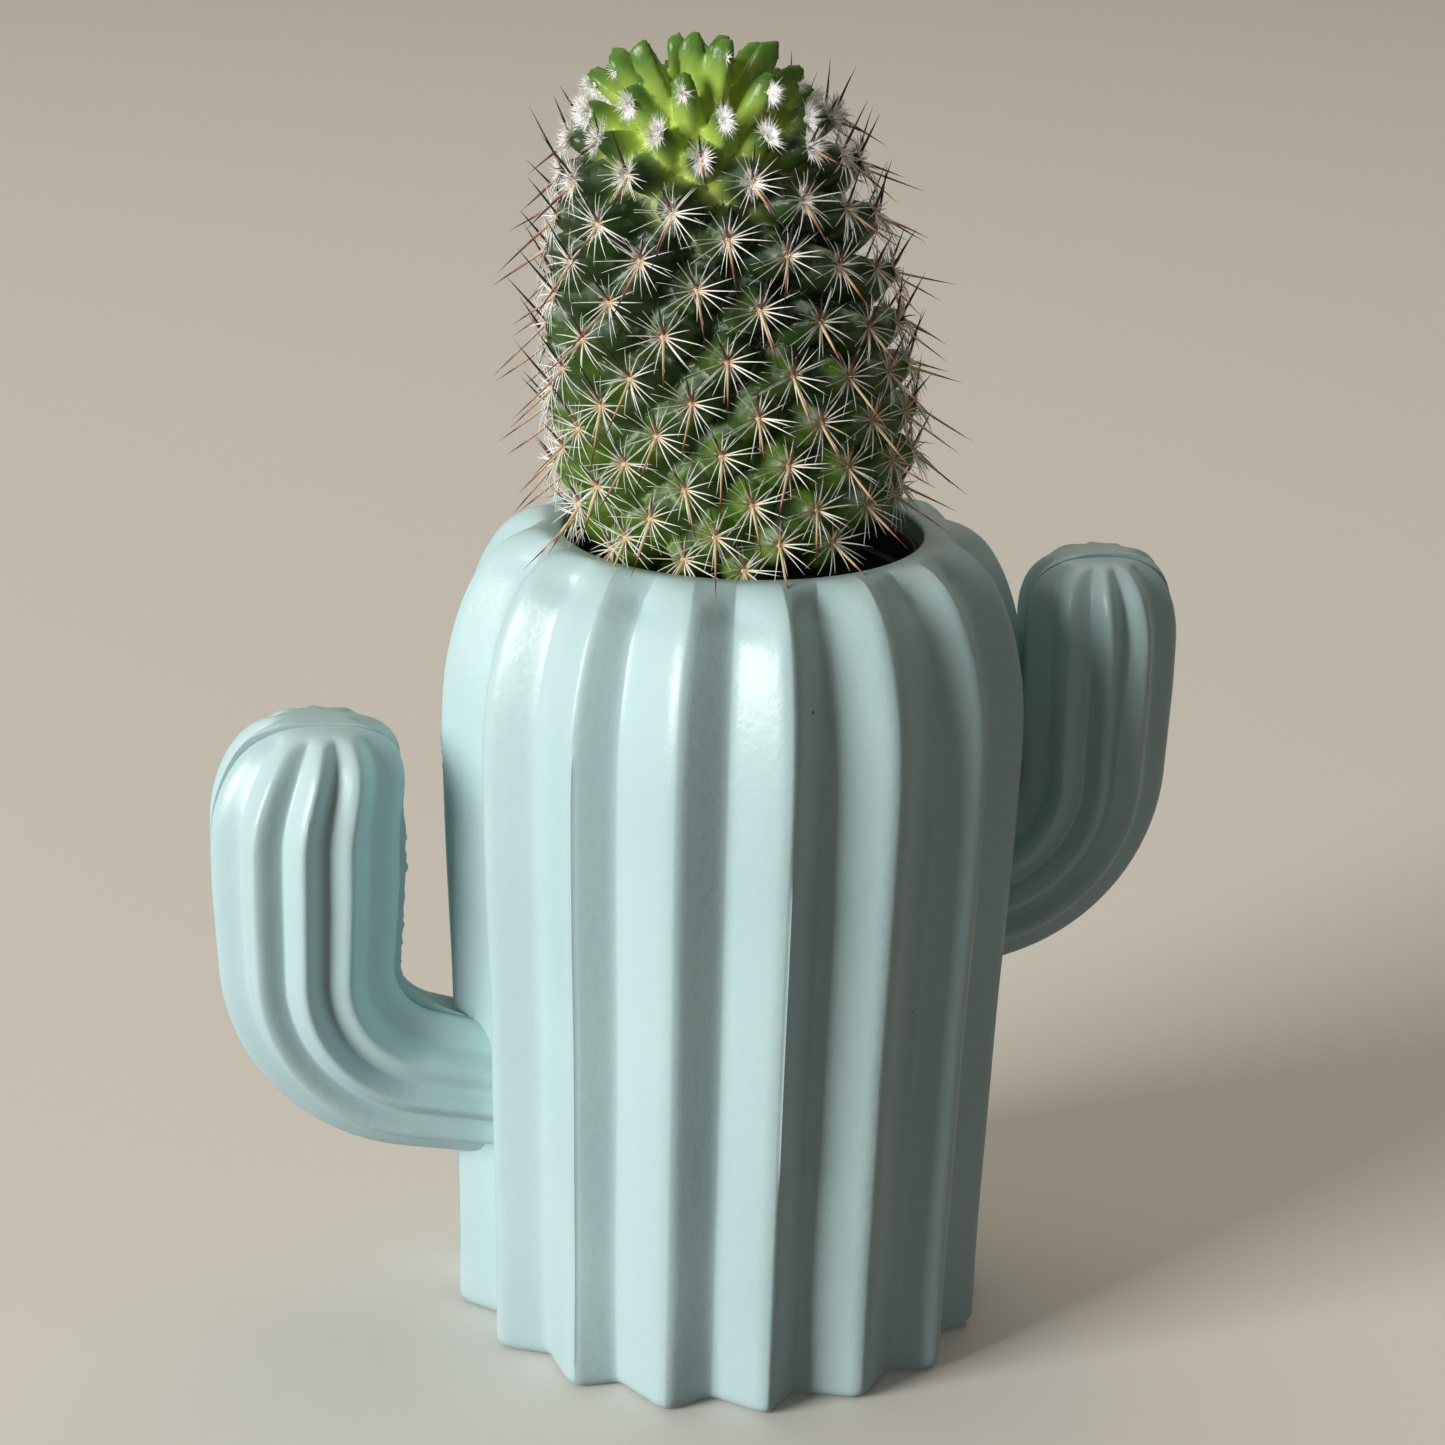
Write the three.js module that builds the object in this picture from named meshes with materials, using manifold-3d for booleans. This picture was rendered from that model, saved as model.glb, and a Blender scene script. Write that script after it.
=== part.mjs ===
// A round, warty cactus growing in a black nursery pot that stands in a
// moulded outer pot. The outer pot is shaped like a ribbed cactus with two
// raised arms. Millimetres, +Z up. The origin is the middle of the underside,
// and the two arms lie in the XZ plane.
import * as THREE from 'three';
import { mergeVertices } from 'three/addons/utils/BufferGeometryUtils.js';
import Module from 'manifold-3d';

const wasm = await Module();
wasm.setup();

// ---- driving dimensions ----
const POT_HEIGHT = 141.2;
const MOUTH_RADIUS = 30;
const LIP_RADIUS = MOUTH_RADIUS + 0.7; // top of the lip's rounding
const SKIN = 2.5; // wall of the moulded pot
const POT_RIBS = 16;
const SEGMENTS_PER_RIB = 4;
const FOOT_ROUNDING = 1.8; // where the ribs meet the underside
const WELL_DEPTH = 62;
const FIT_GAP = 0.3; // between pieces that rest on each other

const ARM_SEGMENTS = 30;
const ARM_RIB_DEPTH = 0.17; // of the arm's radius
// directions of an arm's ten ribs, in degrees, 0 faces -Y and 90 faces +X
const ARM_RIBS = [-76, -35, -4, 25, 71, 108, 144, 180, 216, 252];
const LEFT_ARM = {
  side: -1, rootHeight: 41.8, rootSlope: 12, reach: 73.2, bendRadius: 23,
  rootRadius: 12.2, topRadius: 16.3, tipHeight: 109.5, domeLength: 21, domeShift: 3,
};
const RIGHT_ARM = {
  side: 1, rootHeight: 72, rootSlope: 20, reach: 62, bendRadius: 24,
  rootRadius: 11.5, topRadius: 13.5, tipHeight: 135.5, domeLength: 17, domeShift: 1,
};

const NURSERY_HEIGHT = 58.6;
const NURSERY_WALL = 0.9;
const NURSERY_FOOT_RADIUS = 22;
const NURSERY_RIM_RADIUS = MOUTH_RADIUS - 0.6;
const NURSERY_RIM_BAND = 6;
const MIX_DEPTH = 48;
const DRAIN_HOLES = 5;

const GOLDEN_ANGLE = 137.508; // degrees between one wart and the next
const FIRST_WART_ANGLE = 67.3;
const WART_COUNT = 206;
const WART_SIDES = 4;
const LEAN_X = -0.154; // the stem leans this much for each millimetre of height
const LEAN_Y = -0.169;
const LEAN_HEIGHT = 140; // where the leaning axis crosses the pot's own axis
const CROWN_SLOPE_X = 0.021; // the newest warts stand on a crown that faces up again
const CROWN_SLOPE_Y = 0.078;
const CROWN_WARTS = [35, 75]; // the slope of the crown gives way to the lean between these
const STEM_FOOT_HEIGHT = 122;
const STEM_FOOT_RADIUS = 11;

// ---- helpers ----

// straight-line reading of a table of [input, output] rows
function lookUp(rows, input) {
  for (let i = 1; i < rows.length; i += 1) {
    const [x0, y0] = rows[i - 1];
    const [x1, y1] = rows[i];
    if (input <= x1) {
      const t = THREE.MathUtils.clamp((input - x0) / (x1 - x0), 0, 1);
      return THREE.MathUtils.lerp(y0, y1, t);
    }
  }
  return rows[rows.length - 1][1];
}

function smooth(t) {
  return THREE.MathUtils.smoothstep(t, 0, 1);
}

// a closed geometry as a manifold solid, turned so that it faces out
function toSolid(geometry) {
  const bare = geometry.index ? geometry.clone() : geometry;
  bare.deleteAttribute('normal');
  bare.deleteAttribute('uv');
  const merged = mergeVertices(bare, 1e-4);
  const position = merged.attributes.position.array;
  const index = merged.index.array;
  const triangles = [];
  let volume = 0;
  const a = new THREE.Vector3();
  const b = new THREE.Vector3();
  const c = new THREE.Vector3();
  for (let i = 0; i < index.length; i += 3) {
    const [p, q, r] = [index[i], index[i + 1], index[i + 2]];
    if (p === q || q === r || r === p) continue;
    a.fromArray(position, p * 3);
    b.fromArray(position, q * 3);
    c.fromArray(position, r * 3);
    volume += a.dot(b.cross(c));
    triangles.push(p, q, r);
  }
  if (volume < 0) {
    for (let i = 0; i < triangles.length; i += 3) {
      [triangles[i], triangles[i + 1]] = [triangles[i + 1], triangles[i]];
    }
  }
  const mesh = new wasm.Mesh({
    numProp: 3,
    vertProperties: new Float32Array(position),
    triVerts: new Uint32Array(triangles),
  });
  return new wasm.Manifold(mesh);
}

function toMesh(name, solid, material) {
  const { vertProperties, triVerts } = solid.getMesh();
  const geometry = new THREE.BufferGeometry();
  geometry.setAttribute('position', new THREE.BufferAttribute(new Float32Array(vertProperties), 3));
  geometry.setIndex(new THREE.BufferAttribute(new Uint32Array(triVerts), 1));
  geometry.computeVertexNormals();
  const mesh = new THREE.Mesh(geometry, material);
  mesh.name = name;
  return mesh;
}

// a solid of revolution about Z; profile rows are [radius, height]
function turned(profile, segments) {
  const points = profile.map(([radius, height]) => new THREE.Vector2(radius, height));
  return new THREE.LatheGeometry(points, segments).rotateX(Math.PI / 2);
}

function drill(radius, height, x, y, z, sides = 12) {
  const geometry = new THREE.CylinderGeometry(radius, radius, height, sides);
  return toSolid(geometry.rotateX(Math.PI / 2).translate(x, y, z));
}

// 1 on a crest, 0 in a flute: flat-sided ribs with slightly eased crests
function ribWave(phase) {
  const triangle = 1 - 2 * Math.abs(phase - Math.round(phase));
  return THREE.MathUtils.lerp(triangle, smooth(triangle), 0.25);
}

// ---- the outer pot ----

// the pot's outline from the foot to the lip, along a rib crest and along a
// flute, as rows of [radius, height] that pair up
const CREST_LINE = [
  [45.7, FOOT_ROUNDING], [45.9, 21], [46.6, 42], [47.3, 63], [48.4, 85], [49.1, 106], [48.8, 116],
  [47.7, 123], [46, 129], [43.8, 134], [41, 138], [37.3, 140.6], [34, 141.6], [LIP_RADIUS, POT_HEIGHT],
];
const FLUTE_LINE = [
  [40.4, FOOT_ROUNDING], [41.6, 21], [42, 42], [42.6, 63], [43.6, 85], [44.3, 106], [44, 116],
  [43, 123], [41.5, 129], [39.4, 134], [36.6, 138], [34.2, 140.2], [32.4, 141.2], [LIP_RADIUS, POT_HEIGHT],
];

function potOutside() {
  const foot = (line) => [line[0][0] - FOOT_ROUNDING, 0];
  const crest = [[0, 0], foot(CREST_LINE), ...CREST_LINE, [0, POT_HEIGHT]];
  const flute = [[0, 0], foot(FLUTE_LINE), ...FLUTE_LINE, [0, POT_HEIGHT]];
  const geometry = turned(crest, POT_RIBS * SEGMENTS_PER_RIB);
  const position = geometry.attributes.position;
  for (let i = 0; i < position.count; i += 1) {
    const row = i % crest.length;
    const [crestRadius, crestHeight] = crest[row];
    const [fluteRadius, fluteHeight] = flute[row];
    if (crestRadius > 0) {
      const angle = Math.atan2(position.getY(i), position.getX(i));
      const wave = ribWave((angle / (2 * Math.PI)) * POT_RIBS);
      const radius = THREE.MathUtils.lerp(fluteRadius, crestRadius, wave);
      const height = THREE.MathUtils.lerp(fluteHeight, crestHeight, wave);
      position.setXYZ(i, radius * Math.cos(angle), radius * Math.sin(angle), height);
    }
  }
  return toSolid(geometry);
}

// the well that the nursery pot stands in
function potWell() {
  const floor = POT_HEIGHT - WELL_DEPTH;
  return toSolid(turned([
    [0, floor], [MOUTH_RADIUS, floor], [MOUTH_RADIUS, POT_HEIGHT - 0.7],
    [LIP_RADIUS + 0.3, POT_HEIGHT + 1], [0, POT_HEIGHT + 1],
  ], 40));
}

// the hollow between the ribbed skin and the well
function potHollow() {
  const wellWall = MOUTH_RADIUS + SKIN;
  const underWell = POT_HEIGHT - WELL_DEPTH - SKIN;
  const inside = (z) => lookUp(FLUTE_LINE.map(([radius, height]) => [height, radius]), z) - SKIN;
  return toSolid(turned([
    [0, SKIN], [inside(0), SKIN], [inside(42), 42], [inside(85), 85], [inside(106), 106],
    [inside(123), 123], [wellWall + 2, 129], [wellWall, 128], [wellWall, underWell], [0, underWell],
  ], 32));
}

// centre line of an arm: out of the pot, round a bend, then straight up
function armPath(arm) {
  const slope = THREE.MathUtils.degToRad(arm.rootSlope);
  const turn = Math.PI / 2 - slope;
  const start = { x: 37, z: arm.rootHeight };
  const bendStartX = arm.reach - arm.bendRadius * (1 - Math.sin(slope));
  const run = (bendStartX - start.x) / Math.cos(slope);
  const bendStart = { x: bendStartX, z: start.z + run * Math.sin(slope) };
  const centre = {
    x: arm.reach - arm.bendRadius,
    z: bendStart.z + arm.bendRadius * Math.cos(slope),
  };
  const bend = arm.bendRadius * turn;
  const length = run + bend + (arm.tipHeight - centre.z);
  const at = (s) => {
    if (s < run) {
      return { x: start.x + s * Math.cos(slope), z: start.z + s * Math.sin(slope), tilt: slope };
    }
    if (s < run + bend) {
      const tilt = slope + (s - run) / arm.bendRadius;
      return {
        x: centre.x + arm.bendRadius * Math.sin(tilt),
        z: centre.z - arm.bendRadius * Math.cos(tilt),
        tilt,
      };
    }
    return { x: arm.reach, z: centre.z + (s - run - bend), tilt: Math.PI / 2 };
  };
  return { at, length, run, bend };
}

// 1 on a crest of an arm's ribs, 0 in a flute
function armWave(degrees) {
  const turned360 = ((degrees + 90) % 360 + 360) % 360 - 90;
  const crests = [ARM_RIBS[ARM_RIBS.length - 1] - 360, ...ARM_RIBS, ARM_RIBS[0] + 360];
  for (let i = 1; i < crests.length; i += 1) {
    if (turned360 <= crests[i]) {
      const t = (turned360 - crests[i - 1]) / (crests[i] - crests[i - 1]);
      return 0.5 + 0.5 * Math.cos(2 * Math.PI * t);
    }
  }
  return 1;
}

// crest radius of an arm along its length, rounded off at the tip
function armRadius(arm, s, length) {
  const swell = lookUp([[0, arm.rootRadius], [length * 0.7, arm.topRadius], [length, arm.topRadius]], s);
  const domeStart = length - arm.domeLength;
  if (s <= domeStart) return swell;
  const t = Math.min((s - domeStart) / arm.domeLength, 1);
  return swell * (1 - t ** 2.7) ** (1 / 2.7);
}

// one arm as a closed ribbed tube; inset shrinks it to make the hollow
function armSolid(arm, inset, segments) {
  const { at, length, run } = armPath(arm);
  const stations = [0, run * 0.5];
  const shaftEnd = length - arm.domeLength;
  for (let i = 0; i <= 9; i += 1) stations.push(run + ((shaftEnd - run) * i) / 9);
  for (const t of [0.4, 0.65, 0.82, 0.93, 0.985, 1]) stations.push(shaftEnd + arm.domeLength * t);
  const hollow = inset > 0;
  const rows = stations.map((s) => ({ s, radius: armRadius(arm, s, length) }));
  rows.unshift({ s: 0, radius: 0 });
  const geometry = turned(rows.map(({ radius, s }) => [radius, s]), segments);
  const position = geometry.attributes.position;
  for (let i = 0; i < position.count; i += 1) {
    const { s, radius } = rows[i % rows.length];
    const along = hollow ? s * (1 - inset / length) : s;
    const { x, z, tilt } = at(along);
    const around = Math.atan2(position.getX(i), -position.getY(i));
    const wave = hollow ? 0 : armWave(THREE.MathUtils.radToDeg(around));
    const rib = 1 - ARM_RIB_DEPTH * (1 - wave);
    const size = Math.max(radius * rib - inset, 0);
    const onAxis = radius < 1e-6;
    const outward = onAxis ? 0 : size * Math.sin(around) * arm.side;
    const shift = smooth((s - shaftEnd) / arm.domeLength) * arm.domeShift;
    const px = x + outward * Math.sin(tilt) - shift;
    const pz = z - outward * Math.cos(tilt);
    position.setXYZ(i, arm.side * px, onAxis ? 0 : -size * Math.cos(around), pz);
  }
  return toSolid(geometry);
}

function outerPot() {
  let skin = potOutside();
  let hollow = potHollow();
  for (const arm of [LEFT_ARM, RIGHT_ARM]) {
    skin = skin.add(armSolid(arm, 0, ARM_SEGMENTS));
    hollow = hollow.add(armSolid(arm, SKIN, 16));
  }
  const vent = drill(4, SKIN * 4, 0, 24, 0);
  return skin.subtract(potWell()).subtract(hollow).subtract(vent);
}

// ---- the nursery pot and the potting mix ----

const NURSERY_BOTTOM = POT_HEIGHT - WELL_DEPTH + FIT_GAP;
const NURSERY_TOP = NURSERY_BOTTOM + NURSERY_HEIGHT;
const MIX_BOTTOM = NURSERY_BOTTOM + NURSERY_WALL + FIT_GAP;
const MIX_TOP = MIX_BOTTOM + MIX_DEPTH;

// outside radius of the nursery pot below its rim band
function nurseryRadius(z) {
  const wallTop = NURSERY_TOP - NURSERY_RIM_BAND;
  return lookUp([[NURSERY_BOTTOM, NURSERY_FOOT_RADIUS], [wallTop, NURSERY_RIM_RADIUS - 1.2]], z);
}

function nurseryPot() {
  const bandFoot = NURSERY_TOP - NURSERY_RIM_BAND;
  const inner = (z) => nurseryRadius(z) - NURSERY_WALL;
  let pot = toSolid(turned([
    [0, NURSERY_BOTTOM], [NURSERY_FOOT_RADIUS, NURSERY_BOTTOM],
    [nurseryRadius(bandFoot), bandFoot], [NURSERY_RIM_RADIUS, bandFoot],
    [NURSERY_RIM_RADIUS, NURSERY_TOP], [NURSERY_RIM_RADIUS - NURSERY_WALL, NURSERY_TOP],
    [NURSERY_RIM_RADIUS - NURSERY_WALL, bandFoot + NURSERY_WALL],
    [inner(bandFoot), bandFoot + NURSERY_WALL],
    [inner(NURSERY_BOTTOM), NURSERY_BOTTOM + NURSERY_WALL], [0, NURSERY_BOTTOM + NURSERY_WALL],
  ], 32));
  for (let i = 0; i < DRAIN_HOLES; i += 1) {
    const angle = (2 * Math.PI * i) / DRAIN_HOLES;
    const hole = drill(2.6, 6, 14 * Math.cos(angle), 14 * Math.sin(angle), NURSERY_BOTTOM, 10);
    pot = pot.subtract(hole);
  }
  return pot;
}

function pottingMix() {
  const edge = (z) => nurseryRadius(z) - NURSERY_WALL - FIT_GAP;
  const body = toSolid(turned([
    [0, MIX_BOTTOM], [edge(MIX_BOTTOM), MIX_BOTTOM], [edge(MIX_TOP), MIX_TOP],
    [STEM_FOOT_RADIUS + 6, MIX_TOP + 1.2], [0, MIX_TOP + 2],
  ], 24));
  return body.subtract(stemCore(FIT_GAP * 1.5));
}

// ---- the cactus ----

// radius of the wart tips and their height, from the newest wart to the oldest
const WART_REACH = [
  [0, 1.9], [10, 4.6], [20, 8.4], [30, 13.8], [40, 16.4], [50, 18.8], [65, 21.7], [90, 26],
  [120, 28.6], [150, 29.3], [175, 29.8], [190, 28.2], [206, 25.5],
];
const WART_HEIGHT = [
  [0, 217], [10, 221.5], [20, 223.8], [30, 223], [40, 218.4], [50, 213.2], [65, 208.4], [90, 195.5],
  [120, 179.5], [150, 167], [175, 156.8], [190, 151], [206, 145.5],
];
// radius of the stem between the warts against height
const CORE_RADIUS = [
  [STEM_FOOT_HEIGHT, STEM_FOOT_RADIUS], [128, 15.5], [134, 19.5], [142, 22], [155, 23.2], [167, 22.8],
  [180, 21.6], [192, 19], [202, 15], [209, 9.5], [212, 4],
];

// places a point of the upright stem on its leaning axis; number is the wart's
function lean(point, number = CROWN_WARTS[1]) {
  const rise = point.z - LEAN_HEIGHT;
  const crown = smooth((CROWN_WARTS[1] - number) / (CROWN_WARTS[1] - CROWN_WARTS[0]));
  const slopeX = THREE.MathUtils.lerp(LEAN_X, CROWN_SLOPE_X, crown);
  const slopeY = THREE.MathUtils.lerp(LEAN_Y, CROWN_SLOPE_Y, crown);
  const z = point.z - slopeX * point.x - slopeY * point.y;
  return point.set(point.x + LEAN_X * rise, point.y + LEAN_Y * rise, z);
}

function stemCore(swell) {
  const rows = CORE_RADIUS.map(([z, radius]) => [radius + swell, z]);
  rows[0][1] -= swell;
  rows.unshift([0, rows[0][1]]);
  rows.push([0, rows[rows.length - 1][1] + 0.5]);
  const geometry = turned(rows, 24);
  const position = geometry.attributes.position;
  const point = new THREE.Vector3();
  for (let i = 0; i < position.count; i += 1) {
    lean(point.fromBufferAttribute(position, i));
    position.setXYZ(i, point.x, point.y, point.z);
  }
  return toSolid(geometry);
}

// one cone-shaped wart from the core out to its spine cushion
function wart(number) {
  const angle = THREE.MathUtils.degToRad(FIRST_WART_ANGLE + GOLDEN_ANGLE * number);
  const reach = lookUp(WART_REACH, number);
  const height = lookUp(WART_HEIGHT, number);
  const young = 1 - smooth(number / 60);
  const rise = THREE.MathUtils.lerp(3.5, 14, young);
  const rootReach = Math.max(lookUp(CORE_RADIUS, height - rise) - 3, 0) * (1 - 0.35 * young);
  const tip = new THREE.Vector3(reach * Math.cos(angle), reach * Math.sin(angle), height);
  lean(tip, number);
  const root = new THREE.Vector3(rootReach * Math.cos(angle), rootReach * Math.sin(angle), height - rise);
  lean(root, number);
  const axis = tip.clone().sub(root);
  const width = THREE.MathUtils.lerp(4.9, 3, young);
  const cone = new THREE.CylinderGeometry(1.5, width, axis.length(), WART_SIDES);
  const turn = new THREE.Quaternion().setFromUnitVectors(new THREE.Vector3(0, 1, 0), axis.normalize());
  cone.applyQuaternion(turn);
  const middle = tip.add(root).multiplyScalar(0.5);
  return toSolid(cone.translate(middle.x, middle.y, middle.z));
}

function cactusStem() {
  let stem = stemCore(0);
  for (let number = 0; number < WART_COUNT; number += 1) stem = stem.add(wart(number));
  return stem;
}

// ---- the object ----

const mintPlastic = new THREE.MeshStandardMaterial({ color: '#bfdcd9', roughness: 0.38, metalness: 0 });
const blackPlastic = new THREE.MeshStandardMaterial({ color: '#16161a', roughness: 0.55, metalness: 0 });
const darkPeat = new THREE.MeshStandardMaterial({ color: '#2b211b', roughness: 0.95, metalness: 0 });
const greenFlesh = new THREE.MeshStandardMaterial({ color: '#5c8a38', roughness: 0.5, metalness: 0 });

const object = new THREE.Group();
object.add(toMesh('cactus_shaped_pot', outerPot(), mintPlastic));
object.add(toMesh('nursery_pot', nurseryPot(), blackPlastic));
object.add(toMesh('potting_mix', pottingMix(), darkPeat));
object.add(toMesh('cactus_plant', cactusStem(), greenFlesh));

export default object;
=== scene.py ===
# %% The frame
import math

import bmesh
import bpy
import numpy as np
from mathutils import Matrix, Vector, noise


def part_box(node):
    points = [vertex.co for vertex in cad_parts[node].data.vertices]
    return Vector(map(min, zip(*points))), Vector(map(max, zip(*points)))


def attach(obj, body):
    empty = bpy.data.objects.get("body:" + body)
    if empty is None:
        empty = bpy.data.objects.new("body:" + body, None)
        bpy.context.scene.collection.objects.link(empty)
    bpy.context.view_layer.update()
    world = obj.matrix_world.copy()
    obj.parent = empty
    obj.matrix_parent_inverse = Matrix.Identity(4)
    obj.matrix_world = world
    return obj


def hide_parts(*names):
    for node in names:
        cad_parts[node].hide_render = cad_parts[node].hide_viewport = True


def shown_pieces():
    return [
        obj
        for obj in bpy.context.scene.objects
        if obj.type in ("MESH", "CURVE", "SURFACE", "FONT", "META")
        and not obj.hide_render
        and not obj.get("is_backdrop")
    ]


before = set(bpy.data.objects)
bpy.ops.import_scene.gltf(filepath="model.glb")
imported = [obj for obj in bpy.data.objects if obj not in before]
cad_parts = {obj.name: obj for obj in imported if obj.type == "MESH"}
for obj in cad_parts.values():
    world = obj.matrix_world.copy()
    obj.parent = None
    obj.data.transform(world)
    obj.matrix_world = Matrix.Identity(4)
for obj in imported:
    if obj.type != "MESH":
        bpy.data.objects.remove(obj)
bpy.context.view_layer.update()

TAU = 2 * math.pi
MM = 1000  # the CAD frame is in metres, and this lesson thinks in millimetres
pot_low, pot_high = (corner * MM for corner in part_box("cactus_shaped_pot"))
grower_low, grower_high = (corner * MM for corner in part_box("nursery_pot"))
mix_low, mix_high = (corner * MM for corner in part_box("potting_mix"))
plant_top = max(corner.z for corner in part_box("cactus_plant")) * MM
print("pot from", tuple(round(v, 1) for v in pot_low), "to", tuple(round(v, 1) for v in pot_high))

# %% [markdown]
# # A warty cactus in a cactus-shaped pot
# The object is a moulded plastic pot in the shape of a ribbed cactus with two
# arms. A small black grower's pot stands in its mouth, and a leaning, round
# topped cactus grows out of that. This lesson builds the camera and the light
# first, because they decide how much detail each piece needs. The pot follows,
# then what fills it, then the plant and its thousands of spines.

# %% [markdown]
# ## The camera
# A long lens from a step back keeps the pot's sides nearly parallel. The
# camera looks down on the mouth at about 19 degrees, from a little to the left
# of the front, and is tilted by a degree and a half. A camera could be aimed
# with a Track To constraint, but four angles and a distance say the same
# thing in numbers that can be read and changed.

# %% Camera
CAMERA_DISTANCE = 0.590  # from the pot's axis, along the floor
CAMERA_HEIGHT = 0.3089
CAMERA_ROUND = math.radians(10.15)  # how far it stands to the left of the front
CAMERA_PITCH = math.radians(18.91)
CAMERA_ROLL = math.radians(1.61)
CAMERA_TURN = math.radians(9.91)  # the way it faces, from straight back

ahead = Vector((
    math.sin(CAMERA_TURN) * math.cos(CAMERA_PITCH),
    math.cos(CAMERA_TURN) * math.cos(CAMERA_PITCH),
    -math.sin(CAMERA_PITCH),
))
level = ahead.cross(Vector((0, 0, 1))).normalized()
upright = level.cross(ahead)
right = level * math.cos(CAMERA_ROLL) + upright * math.sin(CAMERA_ROLL)
up = upright * math.cos(CAMERA_ROLL) - level * math.sin(CAMERA_ROLL)

camera = bpy.data.objects.new("camera", bpy.data.cameras.new("camera"))
camera.data.sensor_width = 36
camera.data.lens = 92
camera.data.clip_start = 0.01
camera.matrix_world = Matrix((right, up, -ahead)).transposed().to_4x4()
camera.location = (
    -CAMERA_DISTANCE * math.sin(CAMERA_ROUND),
    -CAMERA_DISTANCE * math.cos(CAMERA_ROUND),
    CAMERA_HEIGHT,
)
bpy.context.scene.collection.objects.link(camera)
bpy.context.scene.camera = camera
print("camera", round(camera.location.length, 3), "m from the pot's foot, lens", camera.data.lens, "mm")

# %% [markdown]
# ## Colours and nodes
# Every finish here is made of shader nodes, and a few helpers keep that short.
# One turns the hex colour that a painter would write into the linear numbers
# that a shader works in. One adds a node, sets it up, wires its inputs and
# hands on its output, all in one call, so that a material reads from top to
# bottom like a recipe. The others are for what nearly every recipe needs.

# %% Colour and node helpers
def tint(code):
    """The linear colour of an sRGB hex code."""
    shares = [int(code[i:i + 2], 16) / 255 for i in (1, 3, 5)]
    return (*((c / 12.92 if c <= 0.04045 else ((c + 0.055) / 1.055) ** 2.4) for c in shares), 1)


def add(tree, kind, inputs=(), stops=(), out=0, **settings):
    """Adds a node with its settings, sets or links its inputs, and gives one output."""
    made = tree.nodes.new("ShaderNode" + kind)
    for key, value in settings.items():
        setattr(made, key, value)
    for key, value in dict(inputs).items():
        if isinstance(value, bpy.types.NodeSocket):
            tree.links.new(value, made.inputs[key])
        else:
            made.inputs[key].default_value = value
    for index, (position, code) in enumerate(stops):
        ramp = made.color_ramp.elements
        stop = ramp[index] if index < len(ramp) else ramp.new(position)
        stop.position = position
        stop.color = tint(code)
    return made.outputs[out]


def fact(tree, name):
    """What a mesh attribute says at each point."""
    return add(tree, "Attribute", out="Fac", attribute_name=name)


def blend(tree, share, first, second):
    """The first colour where share is 0 and the second where it is 1."""
    return add(tree, "Mix", {0: share, 6: first, 7: second}, out=2, data_type="RGBA")


def finish_named(name):
    """A new material and its empty node tree."""
    material = bpy.data.materials.new(name)
    material.use_nodes = True
    material.node_tree.nodes.clear()
    return material, material.node_tree


def shine(tree, inputs):
    """Closes a recipe with the shader and the output."""
    shader = add(tree, "BsdfPrincipled", inputs)
    tree.links.new(shader, tree.nodes.new("ShaderNodeOutputMaterial").inputs["Surface"])


# %% [markdown]
# ## The floor
# The floor is a plain pale disc whose rim sweeps up all round, like the paper
# roll of a studio, so that no view shows a hard horizon. It is hidden from
# diffuse rays, so it gives no light back to the pot, and the shaded faces stay
# as deep as they are on a dark table.

# %% Floor
FLOOR_RADIUS = 4.9
# radius and height of each ring of the sweep
SWEEP = [(5.3, 0.06), (5.65, 0.2), (5.95, 0.46), (6.15, 0.8), (6.25, 1.2), (6.3, 3.5)]
bm = bmesh.new()
bmesh.ops.create_circle(bm, cap_ends=True, segments=96, radius=FLOOR_RADIUS)
ring, reached = bm.edges[:], FLOOR_RADIUS
for radius, height in SWEEP:
    ring = [part for part in bmesh.ops.extrude_edge_only(bm, edges=ring)["geom"]
            if isinstance(part, bmesh.types.BMEdge) and part.is_boundary]
    for vert in {vert for edge in ring for vert in edge.verts}:
        vert.co = (vert.co.x * radius / reached, vert.co.y * radius / reached, height)
    reached = radius
bmesh.ops.recalc_face_normals(bm, faces=bm.faces)
for face in bm.faces:
    face.smooth = len(face.verts) == 4
floor_mesh = bpy.data.meshes.new("floor")
bm.to_mesh(floor_mesh)
bm.free()

floor_finish, tree = finish_named("pale_matt_floor")
shine(tree, {"Base Color": tint("#e8e5df"), "Roughness": 0.8})
floor_mesh.materials.append(floor_finish)
floor = bpy.data.objects.new("floor", floor_mesh)
bpy.context.scene.collection.objects.link(floor)
floor.visible_diffuse = False
floor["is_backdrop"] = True
print("floor", round(reached, 1), "m in radius")

# %% [markdown]
# ## The light
# The light is one large soft window, low to the left and a little in front, so
# the rib faces that turn left are bright and those that turn right fall into
# shade. A wide faint light above stands for what a pale ceiling gives back,
# and a dim sky keeps the shadows open. A sun lamp would draw hard edges that a
# room never shows, so area lights are used.

# %% Lights
def window(name, place, size, watts, colour):
    """A rectangle of soft light at place, turned to the middle of the pot."""
    light = bpy.data.lights.new(name, "AREA")
    light.shape = "RECTANGLE"
    light.size, light.size_y = size
    light.energy = watts
    light.color = tint(colour)[:3]
    lamp = bpy.data.objects.new(name, light)
    lamp.location = place
    aim = Vector((0, 0, 0.1)) - Vector(place)
    lamp.rotation_euler = aim.to_track_quat("-Z", "Y").to_euler()
    bpy.context.scene.collection.objects.link(lamp)


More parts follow.
